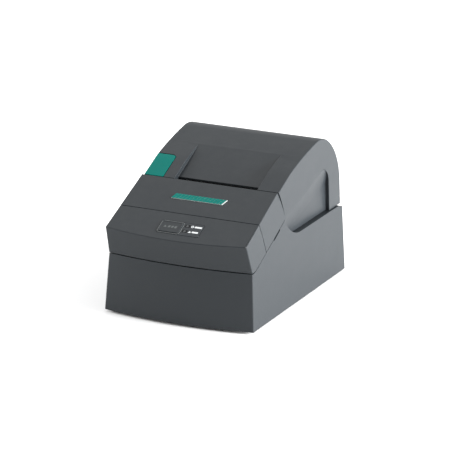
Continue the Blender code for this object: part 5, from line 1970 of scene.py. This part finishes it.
@dataclass(frozen=True)
class TurnedParts:
    """Round parts of one profile, turned to one direction and placed on a set of points.

    Attributes:
        profile: (radius, distance) in millimetres, from the starting end to the other.
        cross: width, length and depth of a cross recess in the far end, if any.
        turn: rotation that takes the upright part to its direction, downwards by default.
    """

    name: str
    profile: tuple
    finish: Finish
    sides: int = 40
    cross: Optional[tuple] = None
    turn: tuple = (math.pi, 0.0, 0.0)

    def stacked(self, made: GeometryTree) -> Socket:
        """Stack extrusions of a disc along the profile.

        Args:
            made: the tree that the nodes go into.

        Returns:
            The closed part, upright, with its starting end at the origin.
        """
        radius, height = (max(part) for part in zip(*self.profile))
        first_radius, first_height = self.profile[0]
        first = made.times(made.value("Radius"), first_radius / radius)
        disc = made.node("GeometryNodeMeshCircle", {"Vertices": made.value("Sides"), "Radius": first},
                         fill_type="NGON").outputs["Mesh"]
        if first_height:
            lift = made.vector(z=made.times(made.value("Height"), first_height / height))
            disc = made.result("GeometryNodeTransform", {"Geometry": disc, "Translation": lift})
        lid = made.result("GeometryNodeFlipFaces", {0: disc})
        body, end = disc, None
        for (near, low), (far, high) in zip(self.profile, self.profile[1:]):
            rise = made.times(made.value("Height"), (high - low) / height)
            inputs = {"Mesh": body, "Offset": made.vector(z=1.0), "Offset Scale": rise}
            if end:
                inputs["Selection"] = end
            step = made.node("GeometryNodeExtrudeMesh", inputs, mode="FACES")
            end = step.outputs["Top"]
            body = made.result("GeometryNodeScaleElements",
                               {"Geometry": step.outputs["Mesh"], "Selection": end, "Scale": far / near},
                               domain="FACE")
        return made.result("GeometryNodeMergeByDistance",
                           {"Geometry": made.join(body, lid), "Distance": WELD})

    def cross_cut(self, made: GeometryTree, part: Socket) -> Socket:
        """Sink the cross recess into the part's far end.

        Args:
            made: the tree that the nodes go into.
            part: the part to cut.

        Returns:
            The part with its recess.
        """
        width, length, depth = (value * MM for value in self.cross)
        for size in ((width, length), (length, width)):
            block = made.result("GeometryNodeMeshCube", {"Size": (*size, 2 * depth)})
            block = made.result("GeometryNodeTransform",
                                {"Geometry": block, "Translation": made.vector(z=made.value("Height"))})
            part = made.result("GeometryNodeMeshBoolean", {0: part, 1: block}, operation="DIFFERENCE",
                               solver="EXACT")
        return part

    def tree(self) -> NodeTree:
        """The tree that puts one turned part on every point it is given.

        Returns:
            The finished tree.
        """
        radius, height = (max(part) for part in zip(*self.profile))
        made = GeometryTree(self.name, True, Radius=radius * MM, Height=height * MM, Sides=self.sides)
        part = self.stacked(made)
        if self.cross:
            part = self.cross_cut(made, part)
        placed = made.result("GeometryNodeInstanceOnPoints",
                             {"Points": made.value("Geometry"), "Instance": part, "Rotation": self.turn})
        return made.finish(placed, self.finish.material())

    def build(self, nodes: Sequence[str], top: float) -> Piece:
        """One object for several like CAD nodes.

        Args:
            nodes: the CAD nodes that it stands for.
            top: height of the parts' starting ends, which are hidden.

        Returns:
            The piece.
        """
        seeds = [(*middle(node).xy, top) for node in nodes]
        item = grow_mesh(self.name, self.tree(), self.finish.material(), seeds)
        return Piece(item, "base", self.finish, tuple(nodes))


def platen_roller() -> Piece:
    """The rubber roller with chamfered, slightly dished ends, along X on the platen's axis.

    Returns:
        The piece.
    """
    low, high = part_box("platen_roller")
    length, radius = (high.x - low.x) / MM, (high.z - low.z) / 2 / MM
    bore, dish, inner, chamfer = 2.6, 0.5, 4.6, 0.35
    rim = inner + 0.3
    near_end = ((bore, dish), (inner, dish), (rim, 0.0), (radius - chamfer, 0.0), (radius, chamfer))
    profile = near_end + tuple((reach, length - along) for reach, along in reversed(near_end))
    roller = TurnedParts("platen_rubber", profile, Finish.RUBBER, 64, turn=(0.0, math.pi / 2, 0.0))
    seed = (low.x, *middle("platen_roller").yz)
    item = grow_mesh(roller.name, roller.tree(), roller.finish.material(), [seed])
    return Piece(item, "platen", roller.finish, ("platen_roller",))


FOOT_PROFILE = ((5.5, 0.0), (6.5, 0.9), (6.5, 1.6), (6.25, 1.75), (6.25, 2.05), (6.5, 2.2), (6.5, 3.1),
                (6.35, 3.5), (6.05, 3.8), (5.7, 3.9), (4.7, 3.9), (4.4, 3.6), (3.9, 3.6), (3.6, 3.9),
                (2.6, 3.9), (2.3, 3.6), (1.8, 3.6), (1.5, 3.9))
SCREW_PROFILE = ((0.9, 0.0), (1.45, 1.2), (1.45, 10.1), (3.0, 10.1), (3.0, 10.8), (2.9, 11.15),
                 (2.6, 11.4), (2.1, 11.6))


@dataclass(frozen=True)
class BottomPlate:
    """The plate under the base, with two fields of vents grown by Geometry Nodes."""

    form: Form
    inset: float = 2.8 * MM
    heights: Pair = mm(4.2, 6.2)
    rear: float = 99.5 * MM
    fields: tuple = (mm(-26, 20), mm(26, 20))
    screw_hole: float = 1.9 * MM

    def grille(self) -> NodeTree:
        """A field of rounded slots cut through whatever mesh the tree is given.

        Returns:
            The finished tree.
        """
        made = GeometryTree("vent field", True, Slots=9, Pitch=4.2 * MM, Length=26.0 * MM, Width=1.8 * MM,
                            Centre_X=0.0, Centre_Y=0.0)
        outline = made.result("GeometryNodeCurvePrimitiveQuadrilateral",
                              {"Width": made.value("Width"), "Height": made.value("Length")})
        corner = made.times(made.value("Width"), 0.48)
        rounded = made.result("GeometryNodeFilletCurve", {"Curve": outline, "Radius": corner, "Count": 5},
                              mode="POLY")
        flat = made.result("GeometryNodeFillCurve", {"Curve": rounded}, mode="NGONS")
        deep = made.result("GeometryNodeExtrudeMesh",
                           {"Mesh": flat, "Offset": made.vector(z=1.0), "Offset Scale": 6.0 * MM},
                           mode="FACES")
        closed = made.join(deep, made.result("GeometryNodeFlipFaces", {0: flat}))
        slot = made.result("GeometryNodeMergeByDistance", {"Geometry": closed, "Distance": WELD})
        less = made.maths("SUBTRACT", made.value("Slots"), 1.0)
        reach = made.times(made.times(less, made.value("Pitch")), -0.5)
        start = made.maths("ADD", reach, made.value("Centre X"))
        below = 2.0 * MM
        line = made.result("GeometryNodeMeshLine",
                           {"Count": made.value("Slots"), "Offset": made.vector(x=made.value("Pitch")),
                            "Start Location": made.vector(start, made.value("Centre Y"), below)},
                           mode="OFFSET")
        row = made.result("GeometryNodeInstanceOnPoints", {"Points": line, "Instance": slot})
        row = made.result("GeometryNodeRealizeInstances", {0: row})
        cut = made.result("GeometryNodeMeshBoolean", {0: made.value("Geometry"), 1: row},
                          operation="DIFFERENCE", solver="EXACT")
        return made.finish(cut, Finish.BLACK.material())

    def label(self) -> Piece:
        """The blank rating label, with rules pressed in where its text would be.

        Returns:
            The piece.
        """
        face = self.heights[0]
        low, high = face - 0.12 * MM, face + 0.5 * MM
        label = Solid.upright("label", rounded_rect(mm(-28, 28), mm(-48, -14), 1.5 * MM), (low, high),
                              Skin.HIDDEN)
        left, rule_height, rule_top = -24 * MM, 1.1 * MM, face - 0.06 * MM
        for index in range(5):
            y, right = (-42 + 4.4 * index) * MM, left + (44 - 5 * index) * MM
            rule = [(left, y), (right, y), (right, y + rule_height), (left, y + rule_height)]
            label.cut(Solid.upright("rule", rule, (face - 1 * MM, rule_top), Skin.HIDDEN))
        return label.piece("blank_label", Finish.LABEL, Rounding())

    def build(self) -> list[Piece]:
        """Shape the plate, cut its vents and add the label.

        Returns:
            The pieces.
        """
        front, side = -120 * MM, 78 * MM
        outline = [(-side, front), (side, front), (side, self.rear), (-side, self.rear)]
        plate = Solid.upright("plate", outline, self.heights, Skin.FINE)
        plate.keep(self.form.width_prism("plate_width", self.inset, None, Skin.FINE),
                   self.form.front_solid("plate_front", self.inset, Skin.FINE))
        for corner in CORNERS:
            hole = circle(tuple(middle(f"screw_{corner}").xy), self.screw_hole, ROUND_SIDES)
            plate.cut(Solid.upright("hole", hole, mm(0, 10), Skin.HIDDEN))
        item = plate.finished(Rounding(fine=0.25 * MM, segments=2), Finish.BLACK.material())
        tree = self.grille()
        for x, y in self.fields:
            item = grow_mesh("bottom_plate_vented", tree, Finish.BLACK.material(), item=item,
                             Centre_X=x, Centre_Y=y)
        return [Piece(item, "base", Finish.BLACK, ("bottom_plate",)), self.label()]


@dataclass(frozen=True)
class CoverLiner:
    """The curved inner guide over the paper roll: a thin sheet with narrow ribs under it."""

    centre: Pair = mm(36.0, 64.0)
    outer: float = 50.0 * MM
    thickness: float = 1.1 * MM
    angles: Pair = (52.0, 128.0)
    ribs: int = 9

    @staticmethod
    def sweep(made: GeometryTree, inset: Value, radial: Value, across: Value) -> Socket:
        """Sweep a rectangle along the guide's arc.

        Args:
            made: the tree that the nodes go into.
            inset: distance of the rectangle's centre below the guide's outer face.
            radial: the rectangle's thickness.
            across: its width along the printer.

        Returns:
            The swept strip, still flat in the tree's own XY plane.
        """
        radius = made.maths("SUBTRACT", made.value("Radius"), inset)
        path = made.result("GeometryNodeCurveArc",
                           {"Resolution": 40, "Radius": radius, "Start Angle": made.value("Start"),
                            "Sweep Angle": made.value("Sweep")}, mode="RADIUS")
        section = made.result("GeometryNodeCurvePrimitiveQuadrilateral",
                              {"Width": radial, "Height": across})
        return made.result("GeometryNodeCurveToMesh",
                           {"Curve": path, "Profile Curve": section, "Fill Caps": True})

    def tree(self) -> NodeTree:
        """The sheet, with ribs instanced along its width.

        Returns:
            The finished tree.
        """
        start, end = (math.radians(angle) for angle in self.angles)
        made = GeometryTree("curved guide", False, Radius=self.outer, Sheet=self.thickness, Width=0.08,
                            Rib_height=1.4 * MM, Rib_width=1.2 * MM, Ribs=self.ribs, Start=start,
                            Sweep=end - start)
        half = made.times(made.value("Sheet"), 0.5)
        sheet = self.sweep(made, half, made.value("Sheet"), made.value("Width"))
        sunk = made.maths("ADD", made.times(made.value("Rib height"), 0.5), half)
        rib = self.sweep(made, sunk, made.value("Rib height"), made.value("Rib width"))
        span = made.maths("SUBTRACT", made.value("Width"), made.value("Rib width"))
        pitch = made.maths("DIVIDE", span, made.maths("SUBTRACT", made.value("Ribs"), 1.0))
        line = made.result("GeometryNodeMeshLine",
                           {"Count": made.value("Ribs"), "Offset": made.vector(z=pitch),
                            "Start Location": made.vector(z=made.times(span, -0.5))}, mode="OFFSET")
        row = made.result("GeometryNodeInstanceOnPoints", {"Points": line, "Instance": rib})
        turned = made.result("GeometryNodeTransform", {"Geometry": made.join(sheet, row),
                                                       "Rotation": (math.pi / 2, 0.0, math.pi / 2)})
        return made.finish(turned, Finish.BLACK.material())

    def build(self) -> Piece:
        """Grow the liner and move its mesh to the roll's centre.

        Returns:
            The piece.
        """
        low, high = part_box("cover_liner")
        item = grow_mesh("ribbed_cover_liner", self.tree(), Finish.BLACK.material(), Width=high.x - low.x)
        item.data.transform(Matrix.Translation((middle("cover_liner").x, *self.centre)))
        return Piece(item, "roll_cover", Finish.BLACK, ("cover_liner",))


# ---------------------------------------------------------------- rear

@dataclass(frozen=True)
class RearConnectors:
    """Metal and contacts inside the three sockets, and the marks on the rocker switch."""

    rim: float = 1.8 * MM
    switch_axis: float = 96.0 * MM
    switch_tilt: float = math.radians(12)
    rocker_apex: float = 4.9 * MM
    rocker_edge: float = 6.2 * MM

    def mouth(self, node: str) -> tuple[Pair, Pair]:
        """X and Z ranges of a socket's opening."""
        low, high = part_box(node)
        return grown((low.x, high.x), -self.rim), grown((low.z, high.z), -self.rim)

    def centre(self, node: str) -> Pair:
        """X and Z of the middle of a socket."""
        place = middle(node)
        return place.x, place.z

    def shell(self) -> Piece:
        """The data socket's steel shell.

        Returns:
            The piece.
        """
        across, upwards = (grown(limits, -0.05 * MM) for limits in self.mouth("usb_socket"))
        outside = rounded_rect(across, upwards, 0.9 * MM)
        shell = Solid.rearward("shell", outside, mm(92.0, 102.2), Skin.FINE)
        inner = rounded_rect(grown(across, -0.5 * MM), grown(upwards, -0.5 * MM), 0.7 * MM)
        shell.cut(Solid.rearward("inner", inner, mm(92.6, 110), Skin.FINE))
        return shell.piece("data_socket_shell", Finish.STEEL, Rounding(fine=0.12 * MM, segments=2))

    def tongues(self) -> Piece:
        """The plastic tongue in the data socket and the round core of the power socket.

        Returns:
            The piece.
        """
        x, z = self.centre("usb_socket")
        flat = rounded_rect(grown((x, x), 2.7 * MM), grown((z, z), 1.4 * MM), 0.4 * MM)
        tongue = Solid.rearward("tongue", flat, mm(92.2, 100.4), Skin.FINE)
        core = circle(self.centre("power_socket"), 1.9 * MM, 32)
        tongue.add(Solid.rearward("core", core, mm(90.8, 99.5), Skin.FINE))
        return tongue.piece("socket_tongues", Finish.BLACK, Rounding(fine=0.15 * MM, segments=2))

    def drawer_wires(self) -> Solid:
        """Six spring wires that slope down into the drawer socket.

        Returns:
            The wires as one solid.
        """
        x, high = self.centre("drawer_socket")[0], self.mouth("drawer_socket")[1][1]
        run = [mm(91.2, -0.3), mm(100.6, -1.6), mm(101.0, -1.3), mm(91.6, -0.05)]
        outline = [(y, high + drop) for y, drop in run]
        pitch, width, wires = 1.02 * MM, 0.4 * MM, None
        for index in range(6):
            left = x + pitch * (index - 2.5) - width / 2
            wire = Solid.prism("wire", outline, (left, left + width), Skin.HIDDEN)
            wires = wires.add(wire) if wires else wire
        return wires

    def contacts(self) -> Piece:
        """The drawer socket's wires, four strips in the data socket and three power pins.

        Returns:
            The piece.
        """
        wires = self.drawer_wires()
        x, z = self.centre("usb_socket")
        for side in (-1, 1):
            for offset in (-1.3, 0.5):
                low = z + side * 1.4 * MM
                wires.add(Solid.box("contact", (x + offset * MM, x + (offset + 0.8) * MM), mm(93, 99.8),
                                    grown((low, low), 0.12 * MM), Skin.HIDDEN))
        for place in arc(self.centre("power_socket"), 2.9 * MM, 90, 330, 2):
            wires.add(Solid.rearward("pin", circle(place, 0.5 * MM, 16), mm(90.8, 100.2), Skin.HIDDEN))
        return wires.piece("socket_contacts", Finish.BRASS, Rounding())

    def on_rocker(self, side: int, across: float, along: float, lift: float) -> Vector:
        """A point on one of the rocker's two faces.

        Args:
            side: 1 for the upper face and -1 for the lower one.
            across: distance from the rocker's middle along X.
            along: distance from its axis along the face.
            lift: distance above the face.

        Returns:
            The point at rest.
        """
        place = middle("switch_bezel")
        turn = self.switch_tilt
        back = self.rocker_apex + (self.rocker_edge - self.rocker_apex) * along / self.rocker_edge + lift
        high = side * along
        return Vector((place.x + across, self.switch_axis + back * math.cos(turn) - high * math.sin(turn),
                       place.z + back * math.sin(turn) + high * math.cos(turn)))

    def patch(self, name: str, side: int, outline: Outline) -> Solid:
        """A thin printed patch on one of the rocker's faces.

        Args:
            name: the solid's name.
            side: 1 for the upper face and -1 for the lower one.
            outline: its (across, along) corners.

        Returns:
            The patch, sunk a little into the face.
        """
        sunk, proud, along = -0.2 * MM, 0.05 * MM, 3 * MM
        corners = [self.on_rocker(side, x, y, sunk) for x, y in outline]
        shift = self.on_rocker(side, 0, along, proud) - self.on_rocker(side, 0, along, sunk)
        return Solid.extruded(name, corners, shift, Skin.HIDDEN)

    def switch_marks(self) -> Piece:
        """The usual line and ring, printed on the rocker's two faces.

        Returns:
            The piece.
        """
        marks = self.patch("line", 1, [mm(-0.25, 2.2), mm(0.25, 2.2), mm(0.25, 4.6), mm(-0.25, 4.6)])
        centre, outer, inner = mm(0, 3.4), 1.3 * MM, 0.9 * MM
        ring = self.patch("ring", -1, circle(centre, outer, 32))
        hole = [self.on_rocker(-1, x, y, -1 * MM) for x, y in circle(centre, inner, 32)]
        ring.cut(Solid.extruded("hole", hole, Vector((0, 3 * MM, 0)), Skin.HIDDEN))
        marks.add(ring)
        return marks.piece("switch_marks", Finish.INK, Rounding(), body="power_switch")

    def build(self) -> list[Piece]:
        """All the rear details."""
        return [self.shell(), self.tongues(), self.contacts(), self.switch_marks()]


# ---------------------------------------------------------------- carried-over pieces and the studio

CARRIED = {
    Finish.BLACK: ("roll_bucket", "power_socket", "usb_socket", "drawer_socket", "switch_bezel",
                   "power_switch"),
    Finish.STEEL: ("chassis", "head_leaf_spring", "cutter_frame", "cutter_blade", "fixed_blade",
                   "platen_shaft", "platen_bracket", "hinge_pin_left", "hinge_pin_right", "idler_stud"),
    Finish.ZINC: ("latch_lever",),
    Finish.ALLOY: ("head_heat_sink", "feed_motor", "cutter_motor"),
    Finish.BRASS: ("platen_bush_left", "platen_bush_right", "motor_pinion"),
    Finish.NYLON: ("platen_gear", "idler_gear", "cutter_gear", "paper_sensor_lever"),
    Finish.CERAMIC: ("thermal_element",),
    Finish.BOARD: ("control_board", "main_board"),
}


def dress_carried_nodes(nodes: dict) -> None:
    """Give every CAD node that stays in view its procedural finish.

    Args:
        nodes: the frame's nodes by name.
    """
    for finish, names in CARRIED.items():
        for name in names:
            mesh = nodes[name].data
            mesh.materials.clear()
            mesh.materials.append(finish.material())
            LOG.info("%s carried over in %s", name, finish.name.lower())


@dataclass(frozen=True)
class Studio:
    """A pale floor, a soft white surround, three large soft lights and the camera."""

    target: tuple = (0.0, 0.00475, 0.072)
    azimuth: float = math.radians(25.73)
    elevation: float = math.radians(17.48)
    distance: float = 2.876
    lens_mm: float = 257.33
    framing: Pair = (-0.00098, -0.01059)
    surround: float = 0.78
    key_power: float = 265.0
    fill_power: float = 80.0
    sheen_power: float = 5.0
    floor_tone: float = 0.93

    def camera(self) -> None:
        """Stand the camera and aim it a little below and beside the target."""
        azimuth, elevation = self.azimuth, self.elevation
        back = Vector((math.sin(azimuth) * math.cos(elevation), -math.cos(azimuth) * math.cos(elevation),
                       math.sin(elevation)))
        right = Vector((math.cos(azimuth), math.sin(azimuth), 0))
        up = back.cross(right)
        place = Vector(self.target) + back * self.distance
        aim = Vector(self.target) + right * self.framing[0] + up * self.framing[1]
        data = bpy.data.cameras.new("camera")
        data.lens, data.sensor_width = self.lens_mm, 36.0
        data.clip_start, data.clip_end = 0.05, 30.0
        item = bpy.data.objects.new("camera", data)
        item.location = place
        item.rotation_mode = "QUATERNION"
        item.rotation_quaternion = (aim - place).to_track_quat("-Z", "Y")
        bpy.context.scene.collection.objects.link(item)
        bpy.context.scene.camera = item

    def light(self, name: str, place: tuple, size: Pair, power: float) -> None:
        """A soft rectangular light aimed at the target.

        Args:
            name: the light's name.
            place: where it stands.
            size: its width and height.
            power: its power in watts.
        """
        data = bpy.data.lights.new(name, "AREA")
        data.shape, data.size, data.size_y, data.energy = "RECTANGLE", size[0], size[1], power
        item = bpy.data.objects.new(name, data)
        item.location = place
        item.rotation_mode = "QUATERNION"
        item.rotation_quaternion = (Vector(self.target) - Vector(place)).to_track_quat("-Z", "Y")
        bpy.context.scene.collection.objects.link(item)

    def floor(self) -> None:
        """A wide pale floor."""
        bm = bmesh.new()
        bmesh.ops.create_grid(bm, x_segments=2, y_segments=2, size=12.0)
        mesh = bpy.data.meshes.new("floor")
        bm.to_mesh(mesh)
        bm.free()
        material = bpy.data.materials.new("floor")
        material.use_nodes = True
        shader = material.node_tree.nodes["Principled BSDF"]
        shader.inputs["Base Color"].default_value = (*(self.floor_tone,) * 3, 1.0)
        shader.inputs["Roughness"].default_value = 0.9
        shader.inputs["Specular IOR Level"].default_value = 0.1
        mesh.materials.append(material)
        item = bpy.data.objects.new("floor", mesh)
        bpy.context.scene.collection.objects.link(item)

    def build(self) -> None:
        """Set up the whole studio."""
        scene = bpy.context.scene
        world = bpy.data.worlds.new("surround")
        world.use_nodes = True
        background = world.node_tree.nodes["Background"]
        background.inputs["Color"].default_value = (1.0, 1.0, 1.0, 1.0)
        background.inputs["Strength"].default_value = self.surround
        scene.world = world
        scene.view_settings.view_transform = "Standard"
        self.camera()
        self.floor()
        self.light("key", (2.45, 0.5, 0.62), (1.6, 1.0), self.key_power)
        self.light("fill", (-2.5, -0.3, 0.8), (1.6, 1.2), self.fill_power)
        self.light("sheen", (-0.9, 0.76, 1.95), (1.2, 1.2), self.sheen_power)


def main() -> None:
    """Build the printer round the frame, piece by piece."""
    logging.basicConfig(level=logging.INFO, format="%(name)s: %(message)s")
    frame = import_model()
    Studio().build()
    layout = Layout.from_frame(frame)
    form = Form(layout)
    panel, cutter, button = FrontPanel(form), CutterCover(form), OpenButton(form)
    pieces = [BaseHousing(form).build(), panel.build(), cutter.build(), button.build(),
              RollCover(form, button).build(), *Controls(panel).build(), *Badge(cutter).build(),
              *BottomPlate(form).build(), CoverLiner().build(), *RearConnectors().build()]
    feet = TurnedParts("rubber_feet", FOOT_PROFILE, Finish.RUBBER)
    screws = TurnedParts("base_screws", SCREW_PROFILE, Finish.ZINC, 32, (0.7, 3.4, 0.7))
    pieces.append(platen_roller())
    pieces.append(feet.build([f"foot_{corner}" for corner in CORNERS], 3.9 * MM))
    pieces.append(screws.build([f"screw_{corner}" for corner in CORNERS], 14.0 * MM))
    for piece in pieces:
        piece.place()
    dress_carried_nodes(frame["nodes"])


if __name__ == "__main__":
    main()
